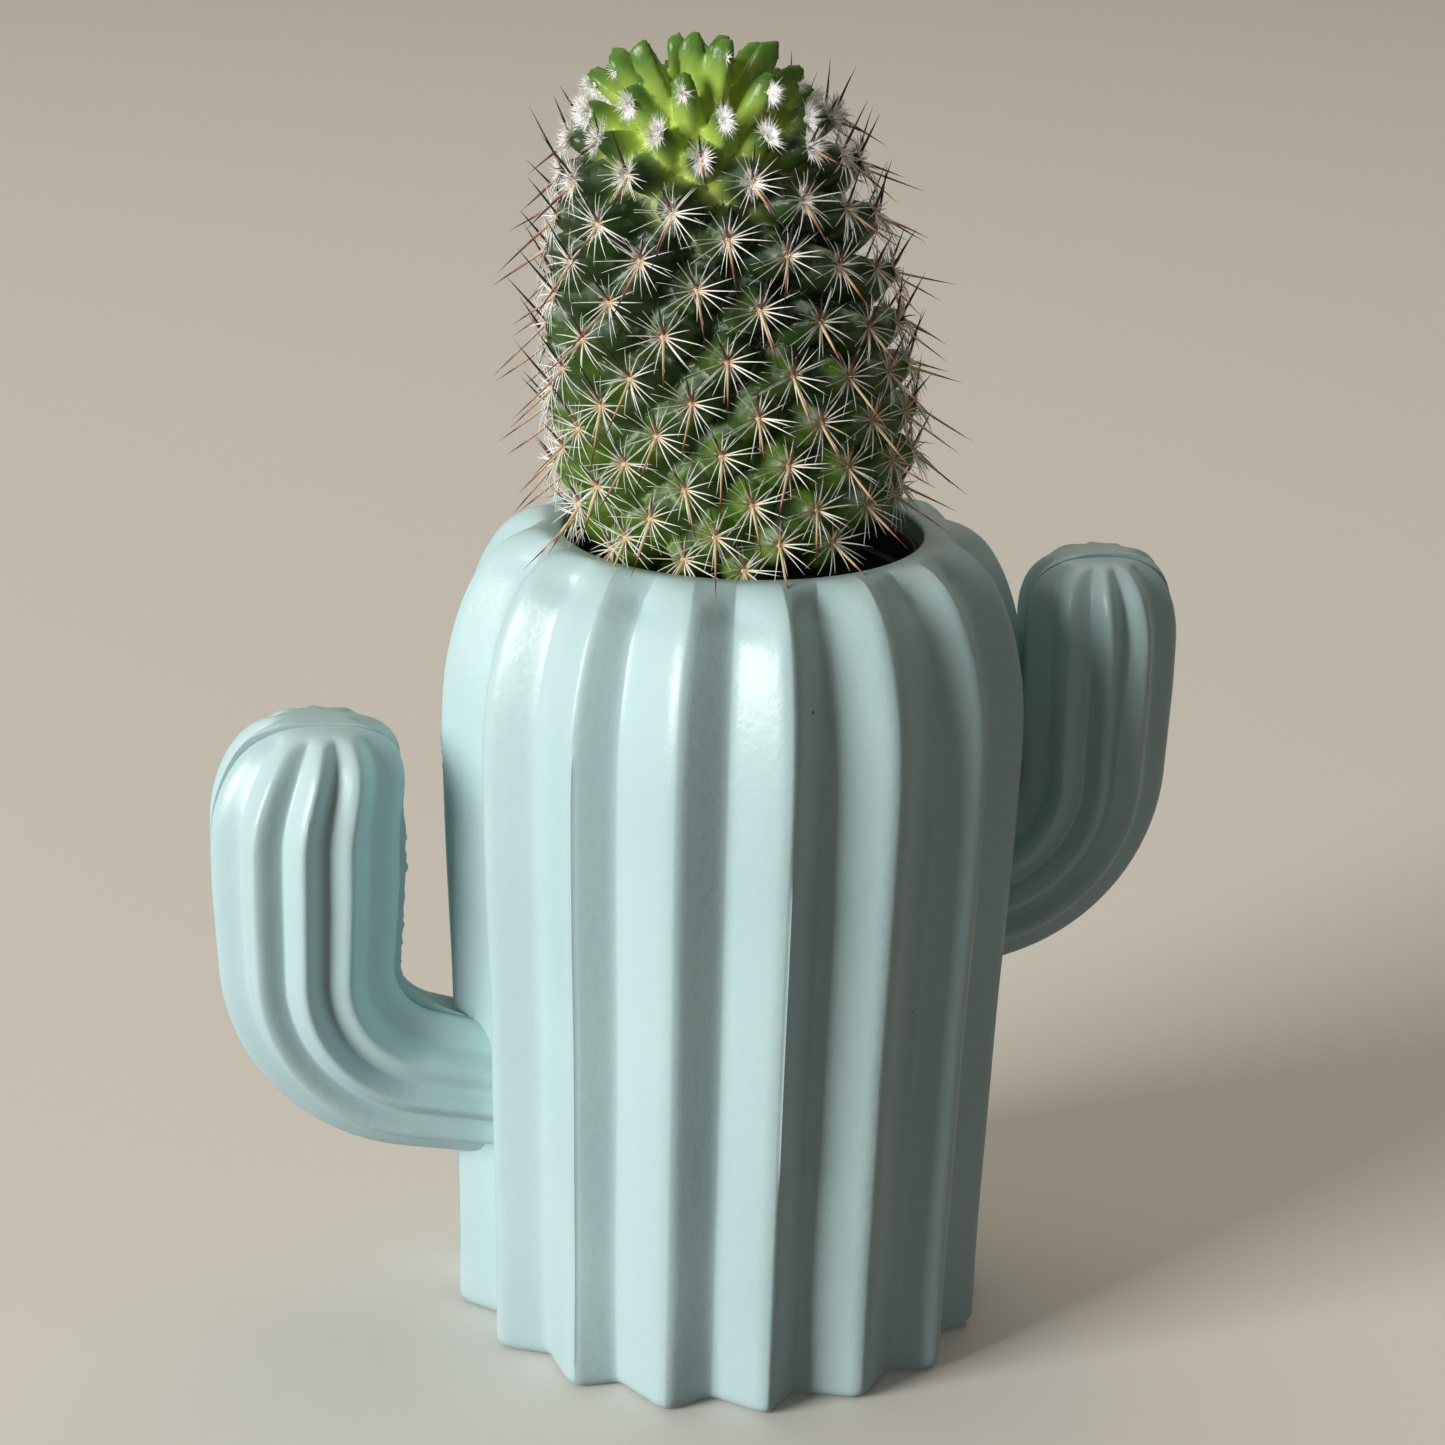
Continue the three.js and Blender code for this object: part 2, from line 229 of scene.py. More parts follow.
window("window_light", (-3.57, -1.67, 1.15), (1.7, 2.0), 208, "#fffdf8")
window("ceiling_bounce", (0.2, 0.9, 2.6), (2.6, 2.6), 24, "#fff2de")
world = bpy.data.worlds.new("room")
world.use_nodes = True
world.node_tree.nodes["Background"].inputs["Color"].default_value = tint("#e7e2d6")
world.node_tree.nodes["Background"].inputs["Strength"].default_value = 0.14
bpy.context.scene.world = world
bpy.context.scene.view_settings.view_transform = "Standard"

# %% [markdown]
# ## Helpers for the pieces
# The pieces are modelled in millimetres, and one function makes a mesh object
# of a finished bmesh, in metres, with its place in its mesh. Others join, cut
# or bore solids with the Boolean modifier, whose manifold solver is quick and
# leaves a closed shell. One draws a smooth line through a few measured points,
# which is how a mould maker would fair a profile, and one turns such a line
# into a closed body, as a lathe does.

# %% Piece helpers
def to_object(bm, name):
    """An object in metres of a bmesh in millimetres, facing out."""
    bmesh.ops.recalc_face_normals(bm, faces=bm.faces)
    bmesh.ops.scale(bm, vec=(1 / MM,) * 3, verts=bm.verts)
    mesh = bpy.data.meshes.new(name)
    bm.to_mesh(mesh)
    bm.free()
    piece = bpy.data.objects.new(name, mesh)
    bpy.context.scene.collection.objects.link(piece)
    return piece


def bake_modifiers(piece):
    """Makes what the modifiers give the piece's own mesh."""
    shape = piece.evaluated_get(bpy.context.evaluated_depsgraph_get())
    mesh = bpy.data.meshes.new_from_object(shape)
    piece.modifiers.clear()
    piece.data = mesh
    return piece


def join_or_cut(piece, tool, operation):
    """Unites tool with piece, or cuts it away, and removes tool."""
    step = piece.modifiers.new(operation.lower(), "BOOLEAN")
    step.operation = operation
    step.solver = "MANIFOLD"
    step.object = tool
    bake_modifiers(piece)
    bpy.data.objects.remove(tool)
    return piece


def bore(piece, place, radii, segments):
    """Cuts a round hole, as wide as radii say at its lower and upper end, through a thin floor."""
    bm = bmesh.new()
    bmesh.ops.create_cone(bm, cap_ends=True, segments=segments, radius1=radii[0], radius2=radii[1],
                          depth=6, matrix=Matrix.Translation(place))
    join_or_cut(piece, to_object(bm, "plug"), "DIFFERENCE")


def shade(piece, degrees):
    """Smooth shading that breaks at edges sharper than an angle."""
    piece.data.shade_smooth()
    piece.data.set_sharp_from_angle(angle=math.radians(degrees))


def dress(piece, finish):
    """Gives a piece its one finish."""
    piece.data.materials.clear()
    piece.data.materials.append(finish)


# %% [markdown]
# The next three shape lines and lathe work. A spin leaves a ring of points on
# its own axis, so those are merged into one at each pole.

# %% Lines and lathe work
def smooth_run(rows, steps):
    """Points on a smooth line through rows, with steps of them between each two."""
    knots = [Vector(rows[0]), *(Vector(row) for row in rows), Vector(rows[-1])]
    run = []
    for a, b, c, d in zip(knots, knots[1:], knots[2:], knots[3:]):
        for i in range(steps):
            t = i / steps
            run.append(0.5 * (2 * b + (c - a) * t + (2 * a - 5 * b + 4 * c - d) * t * t
                              + (3 * b - a - 3 * c + d) * t ** 3))
    return run + [knots[-1]]


def spun(rows, steps):
    """A bmesh turned about Z from rows of radius and height, each row numbered."""
    bm = bmesh.new()
    number = bm.verts.layers.int.new("row")
    line = [bm.verts.new((row[0], 0, row[1])) for row in rows]
    for index, vert in enumerate(line):
        vert[number] = index
    edges = [bm.edges.new(pair) for pair in zip(line, line[1:])]
    bmesh.ops.spin(bm, geom=line + edges, cent=(0, 0, 0), axis=(0, 0, 1), angle=TAU,
                   steps=steps, use_merge=True)
    bmesh.ops.remove_doubles(bm, verts=bm.verts, dist=1e-4)
    return bm


def ease(t):
    """0 to 1 with a soft start and end; numbers and arrays alike."""
    t = np.clip(t, 0, 1)
    return t * t * (3 - 2 * t)



# %% [markdown]
# ## The pot's body
# The pot is blow moulded plastic, and its sixteen ribs are folds with flat
# faces and lightly rounded edges. The outline leans out a little towards the
# shoulder and rolls over into a smooth lip, where the folds die away. It could
# be sixteen extruded wedges, but a turned wall whose points are then drawn in
# between the crests keeps one clean skin, as the mould does. The two outlines
# below, along a crest and along the fold beside it, pair up row by row.

# %% Outlines of the body
POT_RIBS = 16
FOOT_ROUNDING = 2.6
CREST_TOP = 141.6
WELL_RADIUS = 30  # the round well for the grower's pot
# crest radius, crest height, fold radius, fold height
RIB_LINES = [
    (45.7, 2.6, 40.4, 2.6), (45.9, 21, 41.6, 21), (46.6, 42, 42, 42), (47.3, 63, 42.6, 63),
    (48.4, 85, 43.6, 85), (49.1, 106, 44.3, 106), (48.8, 116, 44, 116), (47.7, 123, 43, 123),
    (46, 129, 41.5, 129), (43.8, 134, 39.4, 134), (41, 138, 36.8, 136.9),
    (37.4, 140.7, 35.2, 139.5), (34, 141.6, 33.2, 141.3), (30.7, 141.2, 30.7, 141.2),
]
well_floor = grower_low.z - 0.3

def foot_row(degrees):
    """One row of the rounding between the underside and the wall."""
    inset = FOOT_ROUNDING * (1 - math.sin(math.radians(degrees)))
    height = FOOT_ROUNDING * (1 - math.cos(math.radians(degrees)))
    crest, _, fold, _ = RIB_LINES[0]
    return (crest - inset, height, fold - inset, height)


def plain_row(radius, height):
    """One row with no ribs."""
    return (radius, height, radius, height)


body_rows = [plain_row(0, 0), plain_row(WELL_RADIUS, 0)]
body_rows += [foot_row(degrees) for degrees in (0, 18, 36, 54, 72)]
body_rows += [tuple(row) for row in smooth_run(RIB_LINES, 5)]
body_rows += [plain_row(radius, height) for radius, height in (
    (30.3, 141.05), (30.08, 140.8), (WELL_RADIUS, 140.4), (WELL_RADIUS, well_floor + 40),
    (WELL_RADIUS, well_floor + 1.5), (29.3, well_floor + 0.3), (27, well_floor), (0, well_floor))]
print(len(body_rows), "rows from the foot to the floor of the well")

# %% [markdown]
# A rib needs its points where its surface turns: close together at the crest
# and at the bottom of the fold, and few on the flat faces between. Real
# mouldings are never quite even, so each crest stands a little to one side of
# its place and a little in or out.

# %% The ribbed wall
HALF_RIB = math.pi / POT_RIBS
# shares of the way from a crest to the next fold where the points stand
RIB_STATIONS = [0, 0.03, 0.07, 0.115, 0.17, 0.25, 0.5, 0.74, 0.83, 0.89, 0.935, 0.97]
MERIDIANS = POT_RIBS * 2 * len(RIB_STATIONS)
# how many millimetres of radius the roundings take
CREST_EASE = 3
FOLD_EASE = 1.3
# each crest's and fold's own angle in degrees and size in percent, from the crest at -X
CREST_DRIFT = [-0.5, 0, 1.8, 1.4, 0.4, -0.5, -1.5, -0.8, 0, 0.6, -0.8, 0.3, 1.1, -0.6, 0.4, -0.9]
CREST_SIZE = [1.6, -1.4, -1.6, 0.2, 0.6, -0.1, 1.3, -0.7, 0.6, -0.5, 0.9, 0.3, -0.7, 0.5, -0.4, 0.8]
FOLD_DRIFT = [-0.8, -0.9, -1.4, -0.3, -2.2, 1.6, 0.5, -0.4, 0.7, -1, 0.3, 0.9, -0.7, 0.2, 0.6, -0.5]
FOLD_SIZE = [-1.4, -0.6, -0.2, 0.9, -1.0, 2.4, 0.3, -0.8, 0.5, 0.9, -0.4, -0.9, 0.6, -0.3, 0.8, -0.2]
# thin raised lines beside a few crests, where the mould's inserts met: rib, lowest, highest
WITNESS_LINES = [(2, 3, 113), (4, 44, 98), (9, 20, 90), (13, 60, 118)]
WITNESS_RAISE = 0.22
WITNESS_STATION = 2


def flat_face(share, crest, fold):
    """Radius on the straight line from a crest to the next fold."""
    angle = share * HALF_RIB
    across = fold * math.sin(HALF_RIB - angle) + crest * math.sin(angle)
    return crest * fold * math.sin(HALF_RIB) / across


def soft_least(a, b, width):
    """The lesser of two, rounded where they cross."""
    near = max(width - abs(a - b), 0) / width
    return min(a, b) - near * near * width / 4


def rib_radius(share, crest, fold):
    """Radius at a share of the way from a crest to the next fold."""
    flat = min(1, (crest - fold) / 3)  # the shallow ends of the folds are not flat
    face = flat_face(share, crest, fold)
    beyond_crest = flat_face(-share, crest, fold)
    beyond_fold = flat_face(2 - share, crest, fold)
    folded = -soft_least(-soft_least(face, beyond_crest, CREST_EASE), -beyond_fold, FOLD_EASE)
    return (1 - flat) * (crest + (fold - crest) * share) + flat * (
        folded + CREST_EASE / 4 * (1 - share) - FOLD_EASE / 4 * share)


# %% [markdown]
# Now every point of the turned wall is put on its rib. Its row gives the two
# outlines, and its place round the axis gives the rib and the share of the
# way from the crest to the fold.

# %% Folding the wall
bm = spun(body_rows, MERIDIANS)
row_of = bm.verts.layers.int["row"]
for vert in bm.verts:
    if math.hypot(vert.co.x, vert.co.y) < 1e-6:
        continue
    crest, crest_height, fold, fold_height = body_rows[vert[row_of]]
    step = round((math.atan2(vert.co.y, vert.co.x) / TAU - 0.5) * MERIDIANS) % MERIDIANS
    rib, station = divmod(step, 2 * len(RIB_STATIONS))
    rising = station > len(RIB_STATIONS)
    share = RIB_STATIONS[2 * len(RIB_STATIONS) - station] if rising else (RIB_STATIONS + [1])[station]
    near_crest = (rib + 1) % POT_RIBS if rising else rib
    ribbed = min(1, (crest - fold) / 4)
    crest_angle = (near_crest + (POT_RIBS if rising and near_crest == 0 else 0)) * 2 * HALF_RIB
    crest_angle += ribbed * math.radians(CREST_DRIFT[near_crest])
    fold_angle = (2 * rib + 1) * HALF_RIB + ribbed * math.radians(FOLD_DRIFT[rib])
    angle = math.pi + crest_angle + (fold_angle - crest_angle) * share
    own_crest = crest * (1 + ribbed * CREST_SIZE[near_crest] / 100)
    own_fold = fold * (1 + ribbed * FOLD_SIZE[rib] / 100)
    radius = rib_radius(share, own_crest, own_fold)
    height = crest_height + (fold_height - crest_height) * share
    if station == WITNESS_STATION and any(
            rib == line and low < height < high for line, low, high in WITNESS_LINES):
        radius += WITNESS_RAISE
    vert.co = (radius * math.cos(angle), radius * math.sin(angle), height * pot_high.z / CREST_TOP)
pot_piece = to_object(bm, "ribbed_pot")
print("body wall", len(pot_piece.data.polygons), "faces")

# %% [markdown]
# ## The arms
# Each arm leaves the body a little uphill, bends round and stands upright. On
# the real pot it is moulded in one with the body, and its ten ribs sit at
# uneven angles and end in a dome. First come the line that it follows, its
# radius along that line, and the angles round it where its points stand.

# %% Lines and sizes of the arms
# directions of an arm's ten ribs in degrees, 0 faces the front and 90 faces +X
ARM_RIBS = [-76, -35, -4, 25, 71, 108, 144, 180, 216, 252]
ARM_FOLD_DEPTH = 0.18  # of the arm's radius
ARM_STATIONS = [0, 0.05, 0.11, 0.18, 0.28, 0.4, 0.46, 0.5, 0.54, 0.6, 0.72, 0.82, 0.89, 0.95]
ARM_START = 37  # from the pot's axis, well inside the body
SEAM_STEP = 0.5  # how far the rear half stands proud
SEAM_GROOVE = 1.3  # how deep the crack behind the seam is
SEAM_GROOVE_WIDTH = 0.32
# reach puts the outermost rib of each arm on the side of the CAD box
LOW_ARM = dict(side=-1, root_height=41.8, slope=12, reach=-pot_low.x - 16.3 * 0.978, bend=23,
               root_radius=12.2, radius=16.3, top=109.5, dome=19, shift=3, seam=3)
HIGH_ARM = dict(side=1, root_height=72, slope=20, reach=pot_high.x - 13.5 * 0.97, bend=24,
                root_radius=11.5, radius=13.5, top=135.5, dome=15.5, shift=1, seam=2.5)


def arm_line(arm):
    """The arm's length, and a function from a distance along it to x, z and tilt."""
    slope = math.radians(arm["slope"])
    bend_x = arm["reach"] - arm["bend"] * (1 - math.sin(slope))
    straight = (bend_x - ARM_START) / math.cos(slope)
    centre_z = arm["root_height"] + straight * math.sin(slope) + arm["bend"] * math.cos(slope)
    turn = arm["bend"] * (math.pi / 2 - slope)
    length = straight + turn + arm["top"] - centre_z

    def at(s):
        if s < straight:
            x = ARM_START + s * math.cos(slope)
            return x, arm["root_height"] + s * math.sin(slope), slope
        if s < straight + turn:
            tilt = slope + (s - straight) / arm["bend"]
            x = arm["reach"] - arm["bend"] * (1 - math.sin(tilt))
            return x, centre_z - arm["bend"] * math.cos(tilt), tilt
        return arm["reach"], centre_z + s - straight - turn, math.pi / 2

    return length, at


def arm_radius(arm, s, length):
    """Crest radius of an arm at s, rounded off at its top."""
    swell = float(np.interp(s / length, [0, 0.7, 1], [arm["root_radius"], arm["radius"], arm["radius"]]))
    t = max(0, (s - length + arm["dome"]) / arm["dome"])
    return swell * max(0, 1 - min(t, 1) ** 3) ** (1 / 3)


def arm_directions():
    """An arm's meridians: angle, and 1 on a crest and 0 in a fold."""
    found = {}
    for here, after in zip(ARM_RIBS, ARM_RIBS[1:] + [ARM_RIBS[0] + 360]):
        for share in ARM_STATIONS:
            folded = abs(1 - 2 * share)
            rounded = 0.5 + 0.5 * math.cos(TAU * share)
            found[here + (after - here) * share] = 0.3 * folded + 0.7 * rounded
    return sorted(found.items())


# %% [markdown]
# A curve with a bevel could make an arm, but not its uneven ribs and its dome.
# So it is turned as a straight ribbed column and then bent along its line,
# point by point. The two halves of the mould meet in a plane through both
# arms, a little in front of their middle, and the rear half stands proud with
# a crack before it. So each arm is made once with a thin slit cut at the seam,
# and once more, stouter, to be cut off there, and the two are united.

# %% Bending an arm
# shares of the dome's height where its rows stand, closer where it turns faster
DOME_SHARES = [0.1, 0.2, 0.3, 0.4, 0.5, 0.6, 0.68, 0.76, 0.82, 0.87, 0.905, 0.93, 0.95, 0.966,
               0.98, 0.99, 0.997, 1]
SHAFT_ROWS = 40
SLAB_WIDTH, SLAB_HEIGHT = 120, 200  # a block that any arm fits in
# for each millimetre that the rear half stands proud, how far its dome leans
# out and how deep its folds cut in at the rim of the dome
DOME_LEAN = 2.2
DOME_NOTCH = 3.6


def bent_column(arm, grown):
    """One ribbed arm as a closed solid, from inside the body to its dome, grown all round."""
    length, at = arm_line(arm)
    shaft = length - arm["dome"]
    stations = [shaft * i / SHAFT_ROWS for i in range(SHAFT_ROWS + 1)]
    stations += [shaft + arm["dome"] * share for share in DOME_SHARES]
    rows = [(0, 0)] + [(arm_radius(arm, s, length), s) for s in stations]
    directions = arm_directions()
    bm = spun(rows, len(directions))
    row_of = bm.verts.layers.int["row"]
    for vert in bm.verts:
        radius, s = rows[vert[row_of]]
        x, z, tilt = at(s)
        top = min(1, max(0, (s - shaft) / arm["dome"]))
        x += DOME_LEAN * max(0, grown) * top ** 2 - float(ease(top)) * arm["shift"]
        z += grown * top ** 4
        swelling = grown * (0.3 + 0.7 * top)
        if radius < 1e-6:
            vert.co = (arm["side"] * x, 0, z)
            continue
        step = round(math.atan2(vert.co.y, vert.co.x) / TAU * len(directions)) % len(directions)
        degrees, wave = directions[step]
        around = math.radians(degrees)
        fade = (top - 0.93) / 0.065 if grown > 0 else (top - 0.88) / 0.11
        size = radius * (1 - ARM_FOLD_DEPTH * (1 - float(ease(fade))) * (1 - wave))
        size += swelling * min(1, radius / 6)
        outward = size * math.sin(around) * arm["side"]
        off_pole = float(ease((radius / arm["radius"] - 0.3) / 0.4))
        notch = DOME_NOTCH * max(0, grown) * (1 - wave) * top ** 2 * off_pole
        vert.co = (arm["side"] * (x + outward * math.sin(tilt)), -size * math.cos(around),
                   z - outward * math.cos(tilt) - notch)
    return to_object(bm, "arm")


def slab(arm, front, back):
    """A block as wide and high as an arm, between two depths."""
    middle = (arm["side"] * SLAB_WIDTH / 2, (front + back) / 2, SLAB_HEIGHT / 2)
    bm = bmesh.new()
    bmesh.ops.create_cube(bm, size=1)
    bmesh.ops.scale(bm, vec=(SLAB_WIDTH, back - front, SLAB_HEIGHT), verts=bm.verts)
    bmesh.ops.translate(bm, vec=middle, verts=bm.verts)
    return to_object(bm, "slab")


def make_arm(arm):
    """An arm with a groove cut at its seam and a rear half that stands proud."""
    seam = -arm["seam"]
    slit = slab(arm, seam - SEAM_GROOVE_WIDTH, seam)
    groove = join_or_cut(slit, bent_column(arm, -SEAM_GROOVE), "DIFFERENCE")
    whole = join_or_cut(bent_column(arm, 0), groove, "DIFFERENCE")
    rear = join_or_cut(bent_column(arm, SEAM_STEP), slab(arm, seam - SLAB_WIDTH / 2, seam), "DIFFERENCE")
    return join_or_cut(whole, rear, "UNION")


for arm in (LOW_ARM, HIGH_ARM):
    join_or_cut(pot_piece, make_arm(arm), "UNION")
print("pot with its arms", len(pot_piece.data.polygons), "faces")

# %% [markdown]
# ## Flash along the seam
# Where the mould halves meet, plastic squeezes out in a thin ragged fin called
# flash, and the trimming knife leaves bits of it. Bump could not show it in
# the outline, so it is a row of points grown outwards by uneven heights and
# given a thickness. On the inner side of an arm it stands in a deep fold, so
# it is a few millimetres high there, and elsewhere mostly less than one.

# %% Ragged fins
SEAM_FIN_STEP = 0.7  # millimetres from point to point
BODY_FIN_STEP = 0.6
FIN_THICKNESS = 0.22
FIN_ROOT = 0.5  # how deep its foot stands in the wall


def ragged_fin(points, outward, heights):
    """A thin closed strip that stands on a line by a height at each point."""
    bm = bmesh.new()
    line = [bm.verts.new(point - out * FIN_ROOT) for point, out in zip(points, outward)]
    edges = [bm.edges.new(pair) for pair in zip(line, line[1:])]
    grown = bmesh.ops.extrude_edge_only(bm, edges=edges)["geom"]
    feet = {tuple(round(c, 5) for c in vert.co): index for index, vert in enumerate(line)}
    for vert in [part for part in grown if isinstance(part, bmesh.types.BMVert)]:
        index = feet[tuple(round(c, 5) for c in vert.co)]
        vert.co += outward[index] * (FIN_ROOT + heights[index])
    bmesh.ops.recalc_face_normals(bm, faces=bm.faces)
    bmesh.ops.solidify(bm, geom=bm.faces[:], thickness=FIN_THICKNESS)
    return to_object(bm, "fin")


def uneven(place, low, high, power=3):
    """A height between low and high that changes along the line."""
    share = 0.5 + 0.5 * noise.noise(Vector((place * 0.9, place * 0.13, 4.2)))
    return low + (high - low) * min(1, max(0, share)) ** power


def seam_fin(arm, inner, start, end, low, high):
    """A fin along the inner or outer seam of an arm, between two shares of its length."""
    length, at = arm_line(arm)
    points, outs, heights = [], [], []
    count = int(length * (end - start) / SEAM_FIN_STEP)
    seam = 90 if (arm["side"] > 0) != inner else 270
    degrees, waves = zip(*arm_directions())
    wave = float(np.interp(seam, degrees, waves))
    for i in range(count + 1):
        s = length * (start + (end - start) * i / count)
        x, z, tilt = at(s)
        x -= float(ease((s - length + arm["dome"]) / arm["dome"])) * arm["shift"]
        size = arm_radius(arm, s, length) * (1 - ARM_FOLD_DEPTH * (1 - wave)) - 0.1
        turn = -1 if inner else 1
        out = Vector((arm["side"] * turn * math.sin(tilt), 0, -turn * math.cos(tilt)))
        points.append(Vector((arm["side"] * x, -arm["seam"], z)) + out * size)
        outs.append(out)
        heights.append(uneven(s, low, high) * min(1, 0.3 + i / 25, 0.3 + (count - i) / 25))
    return ragged_fin(points, outs, heights)


for arm, inner, start, end, low, high in (
    (LOW_ARM, True, 0.08, 0.93, 3.1, 4.1), (LOW_ARM, False, 0.3, 0.9, 0.1, 1.2),
    (HIGH_ARM, True, 0.12, 0.9, 1.9, 3.2), (HIGH_ARM, False, 0.3, 0.9, 0, 0.8),
):
    join_or_cut(pot_piece, seam_fin(arm, inner, start, end, low, high), "UNION")


crest_radii, crest_heights, _, _ = zip(*RIB_LINES[:11])  # as far as the crest still rises


def body_fin(direction, stretches, high):
    """Fins on the crest at -X or +X, over stretches of height."""
    crest = 0 if direction < 0 else POT_RIBS // 2
    angle = math.pi * (direction < 0) + math.radians(CREST_DRIFT[crest])
    out = Vector((math.cos(angle), math.sin(angle), 0))
    for low, top in stretches:
        count = int((top - low) / BODY_FIN_STEP) + 1
        climb = [low + BODY_FIN_STEP * i for i in range(count)]
        radii = [float(np.interp(z, crest_heights, crest_radii)) for z in climb]
        points = [out * radius * (1 + CREST_SIZE[crest] / 100) + Vector((0, 0, z))
                  for radius, z in zip(radii, climb)]
        heights = [uneven(z * 1.7 + direction, -0.15, high, 2) for z in climb]
        join_or_cut(pot_piece, ragged_fin(points, [out] * count, heights), "UNION")


body_fin(-1, [(12, 32), (100, 108)], 0.9)
body_fin(1, [(20, 62), (96, 124)], 0.5)
print("pot with its flash", len(pot_piece.data.polygons), "faces")

# %% [markdown]
# The vent in the underside lets the mould empty. A short turned plug cuts it.

# %% Vent, edges and shading
bore(pot_piece, (0, 24, 0), (4.4, 4), 48)
shade(pot_piece, 38)
print("pot with its vent", len(pot_piece.data.polygons), "faces")

# %% [markdown]
# ## Mint plastic
# The pot is polypropylene, blow moulded and straight from the mould. Such
# plastic is a little milky and has a soft gloss with a fine orange peel, so a
# window shows in it as a bright blurred band along each rib. Its colour drifts
# slightly, and dust sits on it here and there as tiny dark specks, each in a
# cell of about a centimetre.

# %% Mint polypropylene
pot_finish, tree = finish_named("moulded_mint_polypropylene")
where = add(tree, "TexCoord", out="Object")
drift = add(tree, "TexNoise", {"Vector": where, "Scale": 28, "Detail": 2})
mint = add(tree, "ValToRGB", {0: drift}, stops=[(0.3, "#b4d0d4"), (0.7, "#b9d5d8")])
from_middle = add(tree, "TexVoronoi", {"Vector": where, "Scale": 95}, out="Distance")
speck = add(tree, "Math", {0: from_middle, 1: 0.035}, operation="LESS_THAN")
chosen = add(tree, "TexNoise", {"Vector": where, "Scale": 60})
rare = add(tree, "Math", {0: chosen, 1: 0.6}, operation="GREATER_THAN")
rare_speck = add(tree, "Math", {0: speck, 1: rare}, operation="MULTIPLY")
peel = add(tree, "TexNoise", {"Vector": where, "Scale": 420, "Detail": 3, "Roughness": 0.6})
slow = add(tree, "TexNoise", {"Vector": where, "Scale": 70, "Detail": 2})
uneven_skin = add(tree, "Math", {0: peel, 1: slow}, operation="ADD")
shine(tree, {
    "Base Color": blend(tree, rare_speck, mint, tint("#3f4440")),
    "Roughness": add(tree, "MapRange", {0: slow, 3: 0.33, 4: 0.37}),
    "Normal": add(tree, "Bump", {"Height": uneven_skin, "Strength": 0.16, "Distance": 0.0006}),
    "IOR": 1.49,
    "Subsurface Weight": 0.08,
    "Subsurface Radius": (0.002, 0.0025, 0.0022),
})
dress(pot_piece, pot_finish)

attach(pot_piece, "root")
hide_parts("cactus_shaped_pot")

# %% [markdown]
# ## The grower's pot
# The plant still stands in the thin black pot that it was sold in. Only its
# rim shows, deep in the mouth. It is vacuum formed sheet, so it is turned as
# one thin wall with a rolled rim band, and five drain holes are cut in its
# bottom.

# %% Grower's pot
GROWER_WALL = 0.9
GROWER_FOOT = 22  # radius of its bottom
DRAIN_HOLES = 5
DRAIN_RING = 14
DRAIN_RADIUS = 2.6
rim = grower_high.x
bottom, top = grower_low.z, grower_high.z
wall_rows = [
    (0, bottom), (GROWER_FOOT - 0.6, bottom), (GROWER_FOOT, bottom + 0.6), (rim - 1.3, top - 6.3),
    (rim - 0.9, top - 6), (rim - 0.2, top - 5.9), (rim, top - 5.6), (rim, top - 0.5),
    (rim - 0.15, top - 0.15), (rim - 0.45, top), (rim - 0.75, top - 0.15), (rim - 0.9, top - 0.5),
    (rim - 0.9, top - 5), (rim - 2.1, top - 5.4), (GROWER_FOOT - GROWER_WALL, bottom + 1.2),
    (GROWER_FOOT - 1, bottom + GROWER_WALL), (0, bottom + GROWER_WALL),
]
grower_piece = to_object(spun(wall_rows, 128), "grower_pot")
for hole in range(DRAIN_HOLES):
    angle = TAU * hole / DRAIN_HOLES
    place = (DRAIN_RING * math.cos(angle), DRAIN_RING * math.sin(angle), bottom)
    bore(grower_piece, place, (DRAIN_RADIUS, DRAIN_RADIUS), 32)
shade(grower_piece, 40)

grower_finish, tree = finish_named("vacuum_formed_black_polystyrene")
dust = add(tree, "TexNoise", {"Vector": add(tree, "TexCoord", out="Object"), "Scale": 240, "Detail": 4})
shine(tree, {
    "Base Color": add(tree, "ValToRGB", {0: dust}, stops=[(0.45, "#0d0d0f"), (0.8, "#1d1b1a")]),
    "Normal": add(tree, "Bump", {"Height": dust, "Strength": 0.2, "Distance": 0.0004}),
    "Roughness": 0.62,
    "IOR": 1.55,
})
dress(grower_piece, grower_finish)
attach(grower_piece, "root")
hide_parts("nursery_pot")
print("grower's pot", len(grower_piece.data.polygons), "faces")

# %% [markdown]
# ## Sowing copies
# Warts, spines, hairs and grit are each one small shape that comes hundreds of
# times. An Array modifier makes the copies of one blank, and then every copy
# is moved to its own place, turned, stretched and bent. The blank stands on
# the origin and points along +Z, one unit long and about one unit in radius, so
# a row of numbers says all that is needed: where it starts, where it points,
# its length, its thickness and how far its tip is bent aside. First come four
# small helpers for rows of numbers.

# %% Rows of numbers
def unit(rows):
    """Each row scaled to length 1."""
    return rows / np.linalg.norm(rows, axis=1)[:, None]


def square_to(rows, ways):
    """The part of each row that stands square to its way, scaled to length 1."""
    return unit(rows - ways * (rows * ways).sum(1)[:, None])


def points_of(mesh):
    """A mesh's points as rows of numbers."""
    flat = np.empty(len(mesh.vertices) * 3, np.float32)
    mesh.vertices.foreach_get("co", flat)
    return flat.reshape(-1, 3).astype(float)


def keep_fact(piece, name, values):
    """Writes a number for each point of a piece as a mesh attribute."""
    layer = piece.data.attributes.new(name, "FLOAT", "POINT")
    layer.data.foreach_set("value", values.astype(np.float32).ravel())


# %% [markdown]
# Each copy keeps the number "along", which runs from 0 at its foot to 1 at its
# tip, so a finish can change along a spine. The blank of a spine is a ring
# that is extruded step by step and drawn in at each one.

